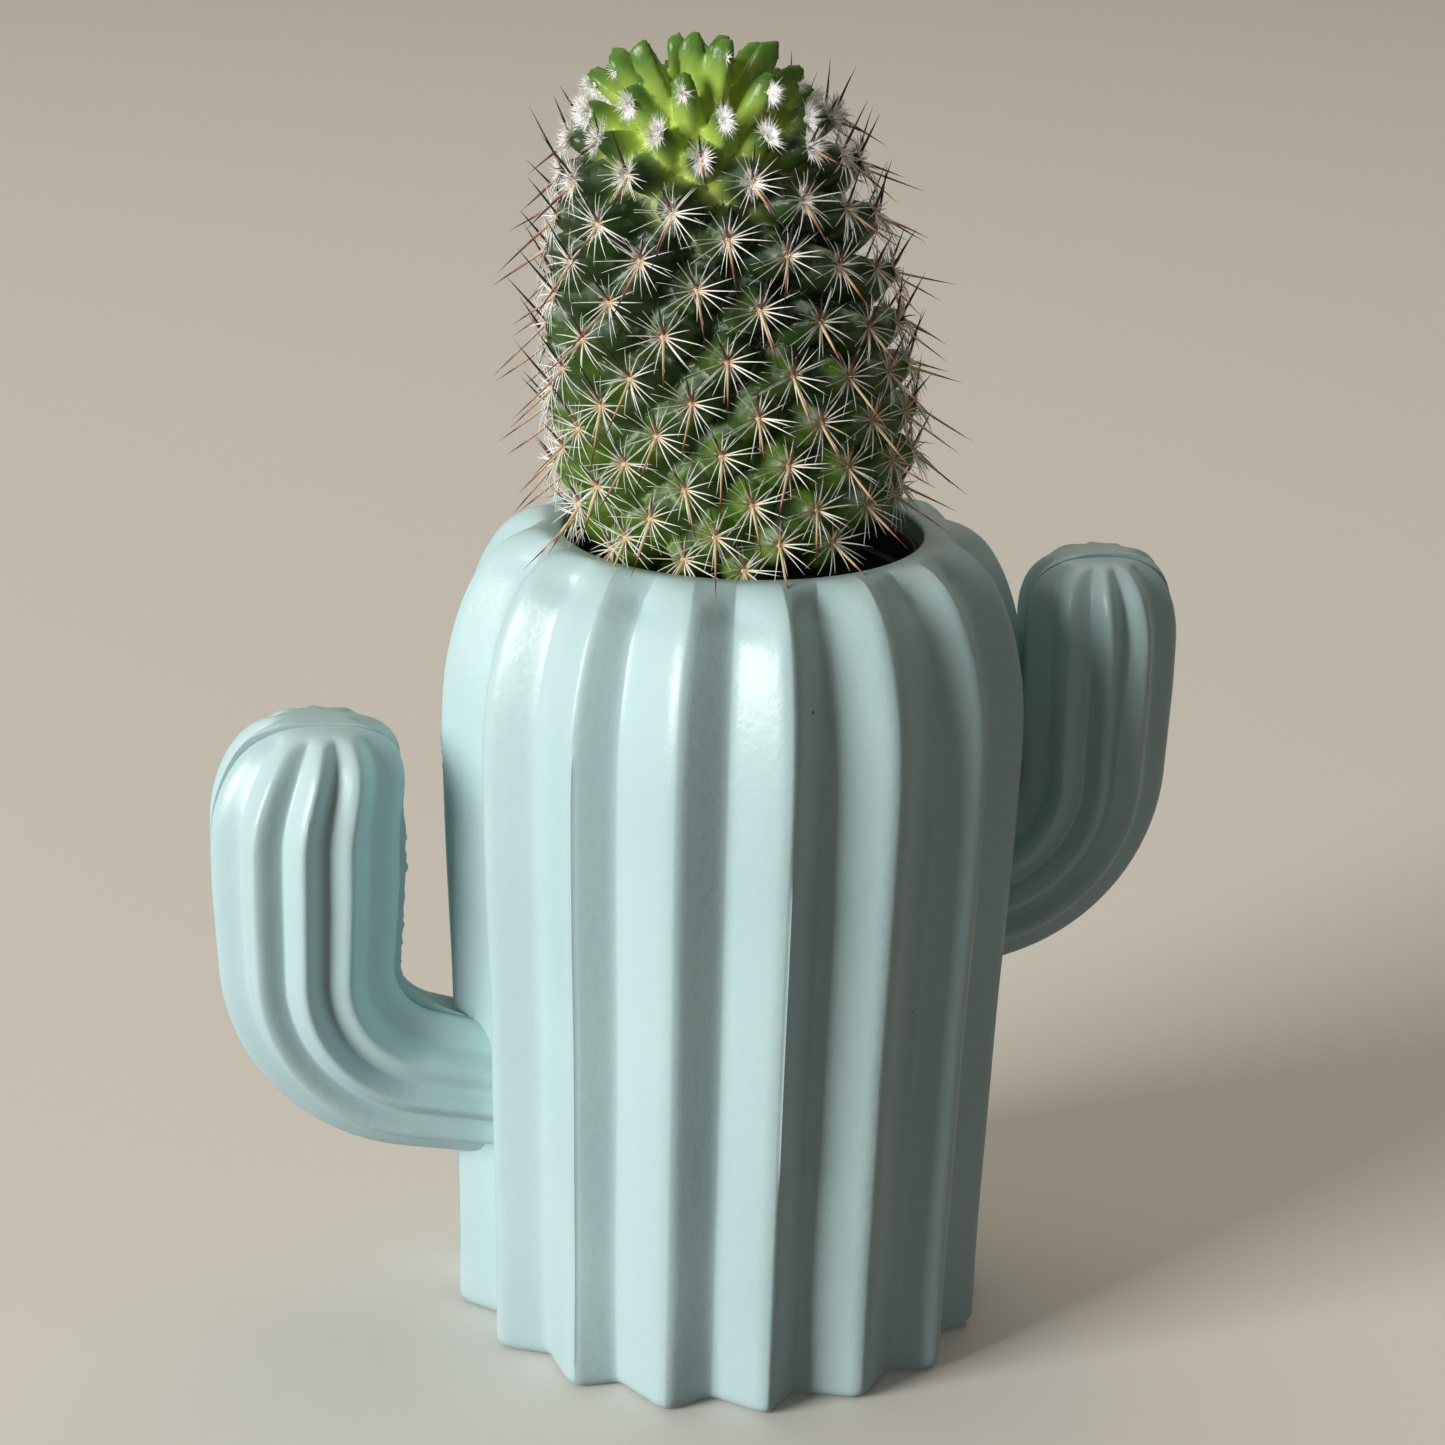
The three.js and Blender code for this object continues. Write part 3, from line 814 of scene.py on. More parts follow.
# %% Sowing
def sow(name, blank, base, toward, length, thickness, bend=None, side=None, widths=None, facts=None):
    """A mesh object with a copy of blank for each row of base, set as the arrays say."""
    count = len(base)
    source = to_object(blank, name)
    source.data.transform(Matrix.Scale(MM, 4))
    source.modifiers.new("row", "ARRAY").count = count
    piece = bake_modifiers(source)
    size = len(piece.data.vertices) // count
    local = points_of(piece.data)[:size]
    toward = unit(toward)
    if side is None:
        side = np.cross(toward, np.array([0.31, 0.52, 0.79]))
    side = square_to(side, toward)
    across = np.cross(toward, side)
    bend = np.zeros((count, 3)) if bend is None else bend
    width = np.ones((count, size)) if widths is None else widths(local)
    width = width * thickness[:, None]
    x, y, z = local[:, 0], local[:, 1], local[:, 2]
    place = (base[:, None, :] + side[:, None, :] * (x * width)[:, :, None]
             + across[:, None, :] * (y * width)[:, :, None]
             + toward[:, None, :] * (length[:, None] * z)[:, :, None]
             + bend[:, None, :] * (z * z)[None, :, None])
    piece.data.vertices.foreach_set("co", (place / MM).astype(np.float32).ravel())
    keep_fact(piece, "along", np.tile(z, (count, 1)))
    for label, values in (facts or {}).items():
        keep_fact(piece, label, np.repeat(values, size))
    piece.data.update()
    piece.data.shade_smooth()
    return piece


def spike(sides, radii):
    """A blank spine: a ring grown along +Z through the radii, closed at both ends."""
    bm = bmesh.new()
    bmesh.ops.create_circle(bm, cap_ends=True, segments=sides, radius=radii[0])
    cap = bm.faces[:][0]
    for before, after in zip(radii, radii[1:]):
        grown = bmesh.ops.extrude_face_region(bm, geom=[cap])["geom"]
        cap = next(part for part in grown if isinstance(part, bmesh.types.BMFace))
        bmesh.ops.translate(bm, verts=cap.verts, vec=(0, 0, 1 / (len(radii) - 1)))
        middle = cap.calc_center_median()
        bmesh.ops.scale(bm, verts=cap.verts, vec=(after / before, after / before, 1),
                        space=Matrix.Translation(-middle))
    return bm


chance = np.random.default_rng(8)
print("a spike has", len(spike(3, (1, 0.9, 0.6, 0.2)).faces), "faces")

# %% [markdown]
# ## The cactus stem
# The warts of such a cactus stand on two sets of spirals, because each new one
# forms 137.5 degrees further round than the last. Wart 0 is the youngest, in
# the middle of the crown, and the oldest are at the foot. Their reach and
# height against their age give the stem's outline. The whole stem leans to
# the left and to the front, while its crown has turned up to the light again.
# The newest warts, long as fingers, curve up from the middle and splay out.

# %% Where the warts stand
GOLDEN_ANGLE = math.radians(137.508)
FIRST_WART_ANGLE = math.radians(67.4)
WART_COUNT = 206
STEM_SHIFT = (0.5, 0.4)
AGE_STEPS = [0, 10, 20, 30, 40, 50, 65, 90, 120, 150, 175, 190, 206]
WART_REACH = [1.9, 4.6, 8.4, 13.8, 16.4, 18.8, 21.7, 26, 28.6, 29.3, 29.8, 28.2, 25.5]
WART_HEIGHT = [217, 221.5, 223.8, 223, 218.4, 213.2, 208.4, 195.5, 179.5, 167, 156.8, 151, 145.5]
CORE_HEIGHTS = [122, 128, 134, 142, 155, 167, 180, 192, 202, 209, 212]
CORE_RADII = [11, 15, 18, 20, 21, 20.6, 19.3, 16.5, 13, 9, 4]
LEAN = (-0.154, -0.169)  # millimetres aside for each millimetre up
CROWN_SLOPE = (0.021, 0.078)
LEAN_FROM = 140  # height where the leaning axis crosses the pot's own
CROWN_AGE = 75  # younger warts stand on the crown, which slopes its own way
CROWN_FADE = 40
NEWEST_AGE = 42  # the warts in the middle of the crown have sunk a little
NEWEST_FADE = 9
NEWEST_SINK = 1.2
NEWEST_SLOPE = 0.22


def lean(points, ages):
    """Places points of an upright stem on the leaning one."""
    crown = ease((CROWN_AGE - ages) / CROWN_FADE)
    slope_x = LEAN[0] + (CROWN_SLOPE[0] - LEAN[0]) * crown
    slope_y = LEAN[1] + (CROWN_SLOPE[1] - LEAN[1]) * crown
    newest = ease((NEWEST_AGE - ages) / NEWEST_FADE)
    x, y, z = points.T
    rise = z - LEAN_FROM
    return np.stack([x + LEAN[0] * rise + STEM_SHIFT[0], y + LEAN[1] * rise + STEM_SHIFT[1],
                     z - slope_x * x - slope_y * y - newest * (NEWEST_SINK + NEWEST_SLOPE * y)], axis=1)


# %% [markdown]
# Every wart now gets its tip and its root, both set on the leaning stem. The
# newest have not grown evenly, so they are moved one by one, wart by wart.

# %% Tips and roots
ages = np.arange(WART_COUNT)
angles = FIRST_WART_ANGLE + GOLDEN_ANGLE * ages
reach = np.interp(ages, AGE_STEPS, WART_REACH)
height = np.interp(ages, AGE_STEPS, WART_HEIGHT)
# 1 for a finger and 0 for a blunt wart, and how far under its tip each is rooted
youth = 1 - ease((ages - 24) / 34)
rise = 3.5 + 9.5 * ease((64 - ages) / 26)
root_reach = np.maximum(np.interp(height - rise, CORE_HEIGHTS, CORE_RADII) - 3, 0) * (1 - 0.35 * youth)
round_x, round_y = np.cos(angles), np.sin(angles)
tips = lean(np.stack([reach * round_x, reach * round_y, height], axis=1), ages)
# how far some have been pushed aside along X and upwards, in millimetres
PUSHED = {
    12: (-0.5, 1.5), 14: (0.8, -2), 15: (-1.5, -1.4), 17: (-0.9, 1.1), 18: (-1.4, -1.6), 19: (-0.3, -1.6),
    20: (-0.6, 0.4), 22: (-1, -1.2), 23: (-0.2, 0.4), 24: (-0.4, -1.4), 25: (-1, 0.3), 26: (-0.5, -1.6),
    27: (-0.4, -0.7), 28: (1.4, -0.1), 30: (-1.9, -0.9), 31: (0.4, -2), 33: (-1.5, 0.7), 35: (0.7, 0.5),
    36: (1, -0.5), 38: (0, -1.2), 39: (0, -1), 41: (-0.7, 1.3), 43: (0.6, 0.2),
}
for age, (aside, upwards) in PUSHED.items():
    tips[age] += (aside, 0, upwards)
roots = lean(np.stack([root_reach * round_x, root_reach * round_y, height - rise], axis=1), ages)
axes = tips - roots
wart_length = np.linalg.norm(axes, axis=1)
axes = axes / wart_length[:, None]

# %% [markdown]
# A young wart leaves the crown's axis by an angle that grows with its age. It
# sets out straight and curls over towards that angle, so two arrays describe
# it: the way it sets out, and how far the curl takes its tip from there.

# %% Curling fingers
splay = np.radians(np.interp(ages, [0, 10, 20, 35, 50, 65], [4, 15, 30, 44, 60, 72]))
CROWN_BACK = math.radians(30)  # the crown looks this far away from the front
crown_axis = np.array([0, math.sin(CROWN_BACK), math.cos(CROWN_BACK)])
crown_back = np.array([0, math.cos(CROWN_BACK), -math.sin(CROWN_BACK)])
finger_way = np.cos(splay)[:, None] * crown_axis + np.sin(splay)[:, None] * (
    round_x[:, None] * np.array([1.0, 0, 0]) + round_y[:, None] * crown_back)
curl = ease((60 - ages) / 20)[:, None] * (finger_way * 1.15 - axes) * wart_length[:, None]
outward = np.stack([round_x, round_y, np.zeros(WART_COUNT)], axis=1)
skyward = np.array([LEAN[0], LEAN[1], 1.0])
print("warts reach up to", round(float(tips[:, 2].max()), 1), "mm, the CAD plant to", round(plant_top, 1))

# %% [markdown]
# A wart is a blunt cone while it is old and a long square-shouldered finger
# while it is young. Both come from one turned blank whose width at each height
# is mixed between the two. The stem's core and all warts are then fused with a
# voxel remesh, which fills the sharp creases as growing flesh does.

# %% Core and warts
OLD_WART = ([0, 0.3, 0.5, 0.68, 0.82, 0.92, 0.98, 1.001], [1, 0.98, 0.88, 0.73, 0.57, 0.43, 0.31, 0])
YOUNG_WART = ([0, 0.3, 0.6, 0.8, 0.92, 0.98, 1.001], [1.3, 1.16, 1.06, 1.02, 0.98, 0.84, 0])


def wart_widths(local):
    """Width of every copy's points: old and young outlines mixed, with soft corners."""
    z = np.clip(local[:, 2], 0, 1.001)
    old, young = np.interp(z, *OLD_WART), np.interp(z, *YOUNG_WART)
    around = np.arctan2(local[:, 1], local[:, 0])
    corners = 1 + 0.07 * np.cos(4 * around)[None, :] + 0.12 * youth[:, None] * np.cos(
        3 * around[None, :] + ages[:, None])
    return (old + (young - old) * youth[:, None]) * corners


wart_girth = np.interp(ages, [0, 8, 16, 24, 34, 45, 55, 70], [0.9, 1.25, 1.7, 2, 2.2, 2.7, 3.4, 4.5])
WART_ROWS = [0.001, 0.2, 0.4, 0.55, 0.68, 0.78, 0.86, 0.92, 0.96, 0.985]
blank = spun([(0, 0)] + [(1, z) for z in WART_ROWS] + [(0, 1)], 24)
start_way = axes * wart_length[:, None] - curl
warts = sow("cactus_flesh", blank, roots, start_way, np.linalg.norm(start_way, axis=1), wart_girth,
            bend=curl, side=np.cross(axes, skyward), widths=wart_widths)

core_rows = [(0, CORE_HEIGHTS[0])] + list(zip(CORE_RADII, CORE_HEIGHTS)) + [(0, CORE_HEIGHTS[-1] + 0.5)]
bm = spun(core_rows, 96)
for vert in bm.verts:
    vert.co = lean(np.array([vert.co[:]]), np.array([CROWN_AGE]))[0]
core = to_object(bm, "core")

bm = bmesh.new()
bm.from_mesh(warts.data)
bm.from_mesh(core.data)
bm.to_mesh(warts.data)
bm.free()
bpy.data.objects.remove(core)

VOXEL = 0.58  # millimetres
fuse = warts.modifiers.new("fuse", "REMESH")
fuse.mode = "VOXEL"
fuse.voxel_size = VOXEL / MM
soften = warts.modifiers.new("soften", "SMOOTH")
soften.factor = 0.5
soften.iterations = 1
thin_out = warts.modifiers.new("thin_out", "DECIMATE")
thin_out.ratio = 0.74
flesh_piece = bake_modifiers(warts)
flesh_piece.data.shade_smooth()
print("flesh", len(flesh_piece.data.polygons), "faces")

# %% [markdown]
# The skin's colour depends on where a point is on its wart and how old the
# wart is. So each point of the fused mesh looks up the nearest of seven beads
# threaded on every wart's curved axis, measured in that wart's widths. It keeps
# three numbers: the share of the way to the tip, the side that faces the sky,
# and how old the wart is, which is how low it stands on the stem.

# %% Facts for the skin
points = points_of(flesh_piece.data) * MM
facts = np.zeros((len(points), 3))
upward = square_to(skyward, axes)
steps = np.array([0.08, 0.24, 0.4, 0.56, 0.72, 0.88, 1.0])
beads = (roots[:, None] + start_way[:, None] * steps[None, :, None]
         + curl[:, None] * steps[None, :, None] ** 2).reshape(-1, 3)
ways = (start_way[:, None] + 2 * curl[:, None] * steps[None, :, None]).reshape(-1, 3)
bead_width = np.repeat(wart_girth, len(steps))
AT_ONCE = 3000  # points, so that the table of distances stays small
for start in range(0, len(points), AT_ONCE):
    chunk = points[start:start + AT_ONCE]
    away = np.sqrt(sum((chunk[:, None, axis] - beads[None, :, axis]) ** 2 for axis in range(3)))
    bead = (away / bead_width).argmin(1)
    nearest = bead // len(steps)
    off = chunk - beads[bead]
    step = (off * ways[bead]).sum(1) / (ways[bead] ** 2).sum(1)
    off = off - ways[bead] * step[:, None]
    tipward = np.clip(steps[bead % len(steps)] + step, 0, 1)
    skyside = (off * upward[nearest]).sum(1) / (np.linalg.norm(off, axis=1) + 1e-6)
    facts[start:start + AT_ONCE] = np.stack([tipward, skyside, ages[nearest] / WART_COUNT], axis=1)
for column, name in enumerate(("tipward", "skyside", "age")):
    keep_fact(flesh_piece, name, facts[:, column])
print("skin facts for", len(points), "points")

# %% [markdown]
# ## Cactus skin
# The flesh is water held in a waxy skin. Old warts are dark green with a pale
# blue-grey bloom of wax on the side that faces the sky, in patches that rub
# off. The newest are lime green and glossy, with darker tips, and light glows
# through them a little, which is what the subsurface share is for. The patches
# of bloom are a few millimetres wide and break up into fine grains.

# %% Waxy green skin
skin_finish, tree = finish_named("waxy_cactus_skin")
where = add(tree, "TexCoord", out="Object")
tipward, skyside, old = (fact(tree, name) for name in ("tipward", "skyside", "age"))
mottle = add(tree, "TexNoise", {"Vector": where, "Scale": 160, "Detail": 4})
deep = add(tree, "ValToRGB", {0: mottle}, stops=[(0.3, "#22361a"), (0.7, "#3d5a29")])
lower = add(tree, "ValToRGB", {0: mottle}, stops=[(0.3, "#4f7021"), (0.7, "#7fa63a")])
low_share = add(tree, "MapRange", {0: old, 1: 0.45, 2: 0.9})
# Painted shade: the colour is darkened towards the foot of each wart, where shade falls in the creases
# between warts, and folded is the skin colour with this painted shade.
crease_shade = add(tree, "MapRange", {0: tipward, 1: 0.15, 2: 0.6, 3: 0.65, 4: 0})
folded = blend(tree, crease_shade, blend(tree, low_share, deep, lower), tint("#16240e"))
lime = add(tree, "ValToRGB", {0: tipward}, stops=[
    (0.1, "#e6ee9e"), (0.5, "#c6da6a"), (0.75, "#9fbe52"), (0.92, "#56802f")])
older_tips = add(tree, "Math", {0: tipward, 1: 0.22, 2: old}, operation="MULTIPLY_ADD")
fresh_share = add(tree, "MapRange", {0: older_tips, 1: 0.385, 2: 0.49, 3: 1, 4: 0})
patch = add(tree, "TexNoise", {"Vector": where, "Scale": 230, "Detail": 5, "Roughness": 0.6})
edge = add(tree, "MapRange", {0: patch, 1: 0.48, 2: 0.6})
sky_share = add(tree, "MapRange", {0: skyside, 1: -0.1, 2: 0.7})
bloom = add(tree, "Math", {0: edge, 1: sky_share}, operation="MULTIPLY")
not_young = add(tree, "MapRange", {0: old, 1: 0.28, 2: 0.42, 3: 0, 4: 0.62})
bloom_share = add(tree, "Math", {0: bloom, 1: not_young}, operation="MULTIPLY")
grain = add(tree, "TexNoise", {"Vector": where, "Scale": 1400, "Detail": 3})
shine(tree, {
    "Base Color": blend(tree, bloom_share, blend(tree, fresh_share, folded, lime), tint("#adbfae")),
    "Roughness": add(tree, "MapRange", {0: bloom_share, 3: 0.3, 4: 0.7}),
    "Normal": add(tree, "Bump", {"Height": grain, "Strength": 0.25, "Distance": 0.0003}),
    "IOR": 1.42,
    "Subsurface Weight": 0.14,
    "Subsurface Radius": (0.0016, 0.002, 0.0006),
})
dress(flesh_piece, skin_finish)
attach(flesh_piece, "root")
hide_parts("cactus_plant")

# %% [markdown]
# ## Spine cushions
# A wart ends in an areole, a small felted cushion that the spines grow from.
# On a young finger it sits on the outer side just under the tip, and on an old
# wart it caps the tip. The cushions are a knobbly blank sown once for each
# wart but the newest, tan with orange, and whiter where they are new.

# %% Areoles
NEWEST_BARE = 35  # warts up to this age have no cushion yet
end_way = unit(axes * wart_length[:, None] + curl)
under_tip = ease((56 - ages) / 16)[:, None]
outer_side = square_to(outward, end_way)
face_out = unit(end_way * (1 - 0.7 * under_tip) + outer_side * under_tip)
cushions = tips - end_way * (0.5 + 1.3 * under_tip) + outer_side * 0.72 * wart_girth[:, None] * under_tip
face_up = square_to(skyward, face_out)
face_side = np.cross(face_up, face_out)

blank = bmesh.new()
bmesh.ops.create_icosphere(blank, subdivisions=3, radius=1)
for vert in blank.verts:
    vert.co *= 1 + 0.22 * noise.noise(vert.co * 2.6) + 0.1 * noise.noise(vert.co * 7)
cushion_size = 0.3 + 0.58 * ease((ages - 34) / 16)
felted = ages[ages > NEWEST_BARE]
felt_piece = sow("areole_felt", blank, (cushions - face_out * 0.15)[felted], face_out[felted],
                 (0.75 * cushion_size)[felted], cushion_size[felted], side=face_side[felted],
                 facts={"fresh": 1 - ease((felted - 50) / 25)})

felt_finish, tree = finish_named("areole_felt")
fluff = add(tree, "TexNoise", {"Vector": add(tree, "TexCoord", out="Object"), "Scale": 2200, "Detail": 3})
tan = add(tree, "ValToRGB", {0: fluff}, stops=[(0.3, "#b5834f"), (0.5, "#dbbb90"), (0.7, "#f0e6d2")])
shine(tree, {
    "Base Color": blend(tree, fact(tree, "fresh"), tan, tint("#f4f2ea")),
    "Normal": add(tree, "Bump", {"Height": fluff, "Strength": 0.8, "Distance": 0.0004}),
    "Roughness": 0.95,
    "Sheen Weight": 0.4,
})
dress(felt_piece, felt_finish)
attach(felt_piece, "root")
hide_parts("cactus_plant")
print("cushions", len(felt_piece.data.polygons), "faces")

# %% [markdown]
# ## Radial spines
# Around each cushion stand about eighteen thin white spines, spread like the
# spokes of a wheel and curved slightly back to the plant. The ones at the
# sides are the longest and the ones at the top the shortest. In the crown they
# are still short and held together. Hair particles could make them, but a
# four-sided tapered blank gives each a real mesh with fewer than twenty faces.

# %% Radial spines
RADIALS = 18


def across_cushion(on, turn):
    """The ways over some cushions at their angles from the upper side."""
    return face_up[on] * np.cos(turn)[:, None] + face_side[on] * np.sin(turn)[:, None]


grown_up = ease((ages - 48) / 24)
star = np.repeat(felted, RADIALS)
count = len(star)
turn = TAU * (np.tile(np.arange(RADIALS), len(felted)) + 0.5) / RADIALS + chance.normal(0, 0.09, count)
spread = np.radians(26 + 45 * grown_up[star]) + chance.normal(0, 0.09, count)
plane = across_cushion(star, turn)
toward = face_out[star] * np.cos(spread)[:, None] + plane * np.sin(spread)[:, None]
spine_length = (4.9 + 1.6 * np.abs(np.sin(turn)) - 0.5 * np.clip(np.cos(turn), 0, 1)) * (
    0.12 + 0.88 * grown_up[star])
spine_length = spine_length * chance.uniform(0.82, 1.15, count)
bend = -face_out[star] * (spine_length * chance.uniform(0.1, 0.26, count))[:, None]
bend += chance.normal(0, 0.16, (count, 3))
bend[:, 2] -= 0.35 * grown_up[star]
start = cushions[star] + plane * (0.5 * cushion_size[star])[:, None] + face_out[star] * 0.3
radial_piece = sow("radial_spines", spike(4, (1, 0.95, 0.72, 0.42, 0.12)), start, toward, spine_length,
                   (0.13 + 0.03 * chance.random(count)) * (0.6 + 0.4 * grown_up[star]), bend=bend)

radial_finish, tree = finish_named("white_spine")
shine(tree, {
    "Base Color": add(tree, "ValToRGB", {0: fact(tree, "along")}, stops=[
        (0, "#d9b080"), (0.1, "#efe4cc"), (0.28, "#fcfaf4"), (0.8, "#ffffff")]),
    "Roughness": 0.4,
    "IOR": 1.54,
    "Subsurface Weight": 0.25,
    "Subsurface Radius": (0.0006, 0.0006, 0.0005),
})
dress(radial_piece, radial_finish)
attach(radial_piece, "root")
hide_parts("cactus_plant")
print("radial spines", len(star), "with", len(radial_piece.data.polygons), "faces")

# %% [markdown]
# ## Central spines
# Two stouter spines stand in the middle of a grown cushion. The upper one is
# nearly black and points up and out. The lower one hangs down and out, cream
# at its base, then red brown, with a dark tip. On the oldest warts both are
# paler and the upper one is shorter. The youngest cushions have none.

# %% Central spines
FIRST_CENTRALS = 56  # the youngest wart that has them
with_centrals = ages[ages >= FIRST_CENTRALS]
pair = np.repeat(with_centrals, 2)
count = len(pair)
upper = np.tile([1.0, 0.0], len(with_centrals))
full = ease((pair - 52) / 18)
drop = chance.normal(0, 0.13, count)
across_lean = chance.normal(0, 0.2, count)
toward = (face_out[pair] * (0.62 + 0.15 * upper + drop)[:, None]
          + face_up[pair] * (upper * 0.75 - (1 - upper) * 0.8)[:, None]
          + face_side[pair] * across_lean[:, None])
longest = np.where(upper > 0, np.interp(pair, [50, 130, 206], [9.4, 8.4, 6.5]), 10.2)
central_length = longest * (0.45 + 0.55 * full) * chance.uniform(0.85, 1.2, count)
bend = face_up[pair] * (central_length * chance.normal(0.0, 0.05, count))[:, None]
start = cushions[pair] + face_out[pair] * 0.3 + face_up[pair] * (0.3 * (2 * upper - 1))[:, None]
upper_darkness = np.interp(pair, [50, 110, 150, 206], [1, 1, 0.6, 0.35])
darkness = np.where(upper > 0, upper_darkness, 0.5 - 0.5 * ease((pair - 60) / 60))
central_piece = sow("central_spines", spike(6, (1, 1, 0.93, 0.82, 0.66, 0.46, 0.24, 0.06)), start, toward,
                    central_length, 0.215 + 0.04 * chance.random(count), bend=bend,
                    facts={"darkness": darkness})

central_finish, tree = finish_named("horny_central_spine")
pushed = add(tree, "Math", {0: fact(tree, "darkness"), 1: 0.55, 2: fact(tree, "along")},
             operation="MULTIPLY_ADD")
shine(tree, {
    "Base Color": add(tree, "ValToRGB", {0: pushed}, stops=[
        (0, "#f0e3c2"), (0.4, "#e0c192"), (0.6, "#a25c40"), (0.76, "#5c2420"), (0.92, "#201014")]),
    "Roughness": 0.38,
    "IOR": 1.54,
})
dress(central_piece, central_finish)
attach(central_piece, "root")
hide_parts("cactus_plant")
print("central spines", len(pair), "with", len(central_piece.data.polygons), "faces")

# %% [markdown]
# ## Wool
# New cushions are wrapped in white wool, and some of the hollows between warts
# hold a pinch of it. The wool is sown hairs too, fine and bent at random. Real
# wool lets most of the light through, so these hairs cast no shadow.

# %% Wool
hairs = np.interp(ages, [0, 30, 36, 42, 62, 84, 115], [0, 0, 45, 190, 190, 70, 10]).astype(int)
wool_on = np.repeat(ages, hairs)
count = len(wool_on)
turn = chance.uniform(0, TAU, count)
tuft = np.interp(wool_on, [0, 30, 42, 62, 84, 115, 206], [0.4, 0.6, 2.1, 2.2, 1.6, 0.9, 0.8])
plane = across_cushion(wool_on, turn) + face_up[wool_on] * (np.cos(turn) * 0.9)[:, None]
toward = face_out[wool_on] + plane * chance.uniform(0.05, 1.3, count)[:, None]
hair_length = tuft * chance.uniform(0.6, 1.2, count)
start = cushions[wool_on] + plane * (chance.uniform(0, 0.8, count) * cushion_size[wool_on])[:, None]
tufts = [start, toward, hair_length, np.full(count, 0.075), chance.normal(0, 0.4, (count, 3))]

HOLLOW_HAIRS = 26  # in each pinch between warts
hollow_ages = np.array([age for age in ages if age > 52 and chance.random() < 0.55])
hollow_on = np.repeat(hollow_ages, HOLLOW_HAIRS)
count = len(hollow_on)
hollows = roots + axes * (wart_length * 0.42)[:, None] + upward * 4.2
start = (hollows[hollow_on] + face_side[hollow_on] * chance.normal(0, 1.3, (count, 1))
         + upward[hollow_on] * chance.normal(0, 0.4, (count, 1)))
toward = axes[hollow_on] + chance.normal(0, 0.8, (count, 3))
pinches = [start, toward, chance.uniform(1, 2.4, count), np.full(count, 0.05),
           chance.normal(0, 0.8, (count, 3))]
base, toward, hair_length, hair_width, bend = (np.concatenate(two) for two in zip(tufts, pinches))
wool_piece = sow("white_wool", spike(3, (1, 0.8, 0.25)), base, toward, hair_length, hair_width, bend=bend)

wool_finish, tree = finish_named("plant_wool")
shine(tree, {
    "Base Color": add(tree, "ValToRGB", {0: fact(tree, "along")}, stops=[(0, "#f6f2e8"), (0.5, "#ffffff")]),
    "Roughness": 0.8,
    "Sheen Weight": 0.6,
    "Sheen Roughness": 0.4,
    "Subsurface Weight": 0.6,
    "Subsurface Radius": (0.0012, 0.0012, 0.001),
})
dress(wool_piece, wool_finish)
wool_piece.visible_shadow = False
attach(wool_piece, "root")
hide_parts("cactus_plant")
print("wool", len(base), "hairs")

# %% [markdown]
# ## Potting mix
# The mix is dark peat with grit, a few white crumbs of perlite and brown
# fibres. It lies low in the grower's pot, where little light reaches. It is
# turned as a low mound whose points are pushed about by noise, and its grit
# and fibres are sown on it.

# %% Mix
MIX_RADIUS = rim - 2.9
MIX_FOOT = 20.4
MOUND = 1.3  # how much higher the middle stands than the edge
MOUND_ROWS = 26
mix_top = mix_high.z - 1.2
mix_rows = [(0, mix_low.z), (MIX_FOOT, mix_low.z), (MIX_RADIUS - 0.4, mix_top - 1.5)]
for i in range(MOUND_ROWS):
    inward = i / MOUND_ROWS
    mix_rows.append((MIX_RADIUS * (1 - inward) + 0.001, mix_top + MOUND * inward))
bm = spun(mix_rows + [(0, mix_top + MOUND)], 120)
for vert in bm.verts:
    if vert.co.z > mix_top - 1 and math.hypot(vert.co.x, vert.co.y) < MIX_RADIUS - 0.5:
        vert.co.z += 0.9 * noise.noise(vert.co * 0.35) + 0.5 * noise.noise(vert.co * 1.1)
mix_piece = to_object(bm, "peat_mix")
mix_piece.data.shade_smooth()

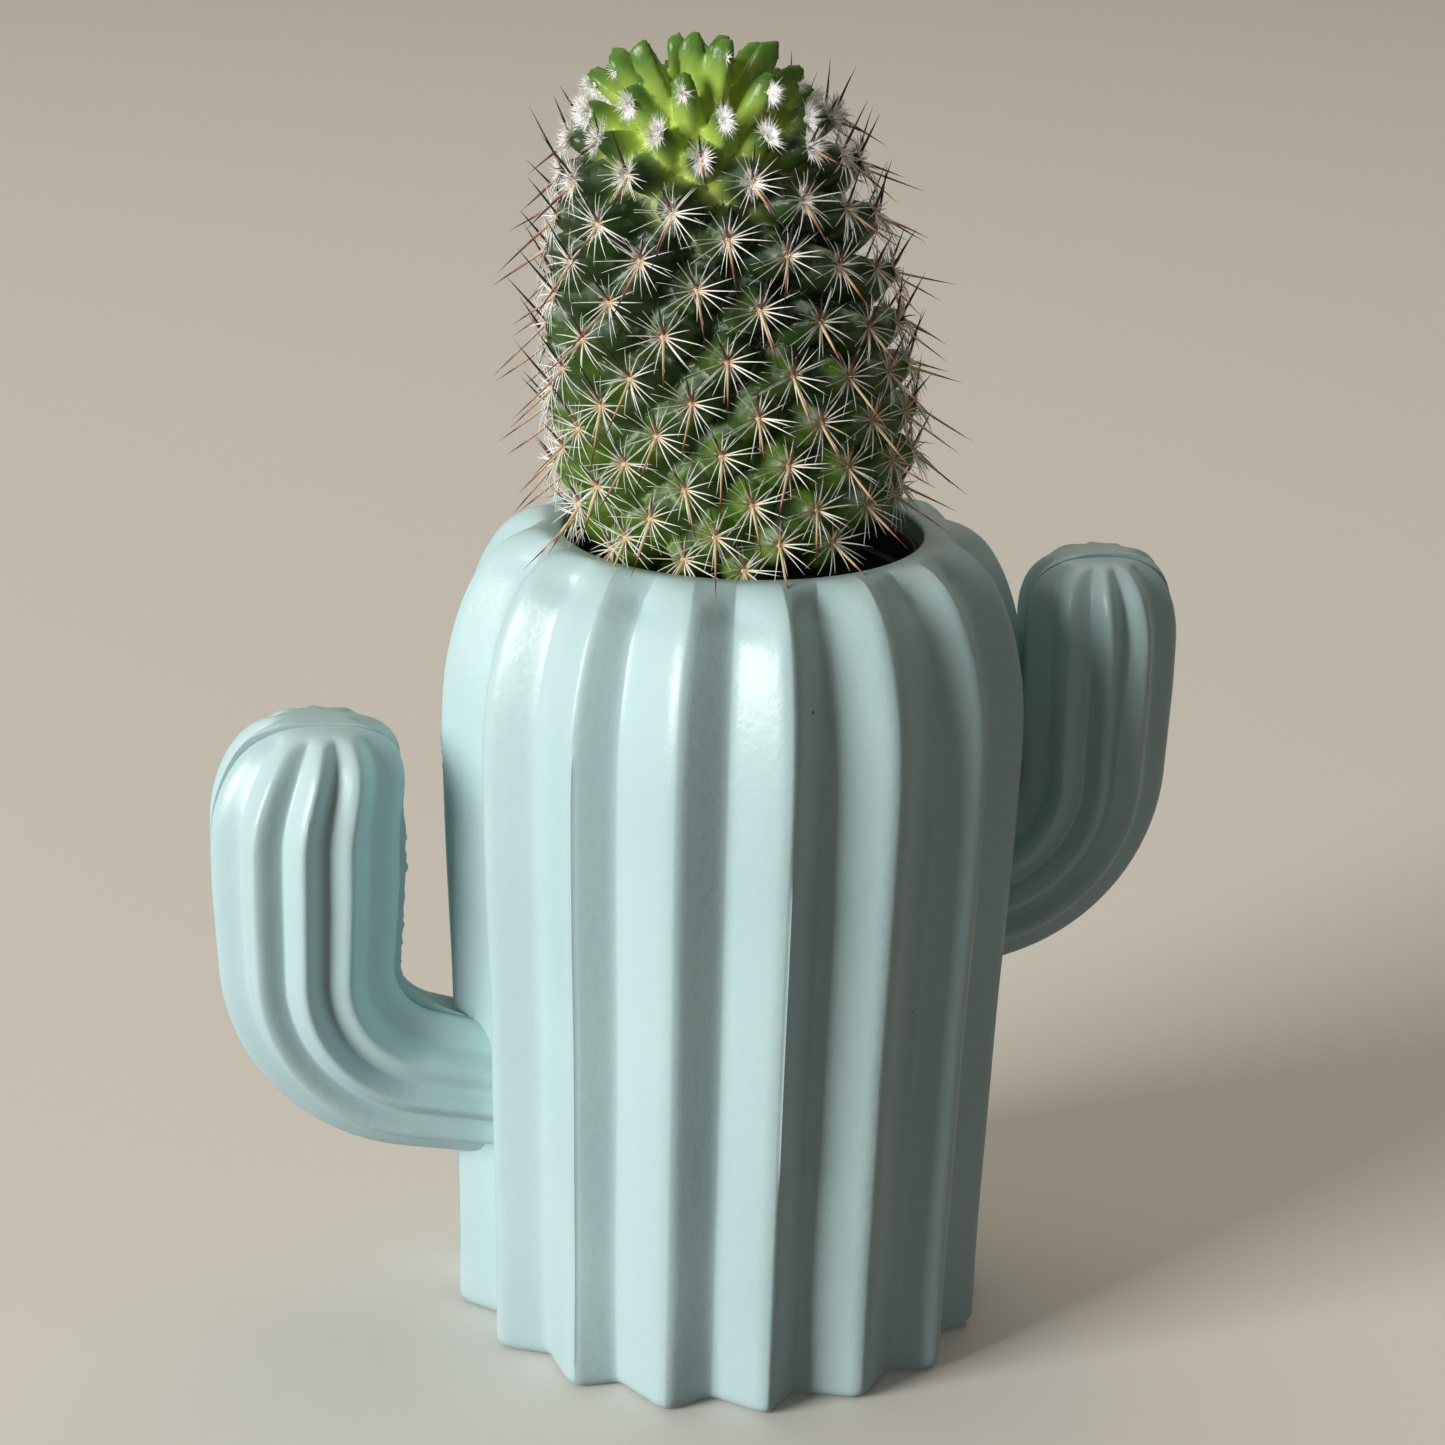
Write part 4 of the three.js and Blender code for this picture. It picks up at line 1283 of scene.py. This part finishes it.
blank = bmesh.new()
bmesh.ops.create_icosphere(blank, subdivisions=2, radius=1)
for vert in blank.verts:
    vert.co *= 1 + 0.5 * noise.noise(vert.co * 1.9)
GRITS = 420
turn, far = chance.uniform(0, TAU, GRITS), np.sqrt(chance.uniform(0.3, 1, GRITS)) * (MIX_RADIUS - 1.2)
base = np.stack([far * np.cos(turn), far * np.sin(turn), mix_top + MOUND * (1 - far / MIX_RADIUS)], axis=1)
grit = chance.uniform(0.35, 1.1, GRITS)
pale = (chance.random(GRITS) < 0.06).astype(float)
grit_piece = sow("mix_grit", blank, base, chance.normal(0, 1, (GRITS, 3)), grit, grit, facts={"pale": pale})

FIBRES = 90
turn, far = chance.uniform(0, TAU, FIBRES), chance.uniform(0.55, 0.95, FIBRES) * MIX_RADIUS
base = np.stack([far * np.cos(turn), far * np.sin(turn), np.full(FIBRES, mix_top + 0.9)], axis=1)
toward = chance.normal(0, 1, (FIBRES, 3)) * (1, 1, 0.35) + (0, 0, 0.3)
fibre_piece = sow("mix_fibres", spike(4, (1, 0.9, 0.8, 0.6, 0.3)), base, toward, chance.uniform(3, 7, FIBRES),
                  chance.uniform(0.1, 0.22, FIBRES), bend=chance.normal(0, 1, (FIBRES, 3)) * (1, 1, 0.4),
                  facts={"pale": np.full(FIBRES, 0.35)})

mix_finish, tree = finish_named("damp_peat")
crumb = add(tree, "TexNoise", {"Vector": add(tree, "TexCoord", out="Object"), "Scale": 900, "Detail": 5})
peat = add(tree, "ValToRGB", {0: crumb}, stops=[(0.35, "#0f0b09"), (0.7, "#3a2a1f")])
shine(tree, {
    "Base Color": blend(tree, fact(tree, "pale"), peat, tint("#b9ab94")),
    "Normal": add(tree, "Bump", {"Height": crumb, "Strength": 0.9, "Distance": 0.0006}),
    "Roughness": 0.95,
})
for piece in (mix_piece, grit_piece, fibre_piece):
    dress(piece, mix_finish)
    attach(piece, "root")
    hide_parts("potting_mix")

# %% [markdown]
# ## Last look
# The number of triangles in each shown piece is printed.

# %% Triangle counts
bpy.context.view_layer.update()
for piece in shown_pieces():
    print(piece.name, sum(len(face.vertices) - 2 for face in piece.data.polygons), "triangles")
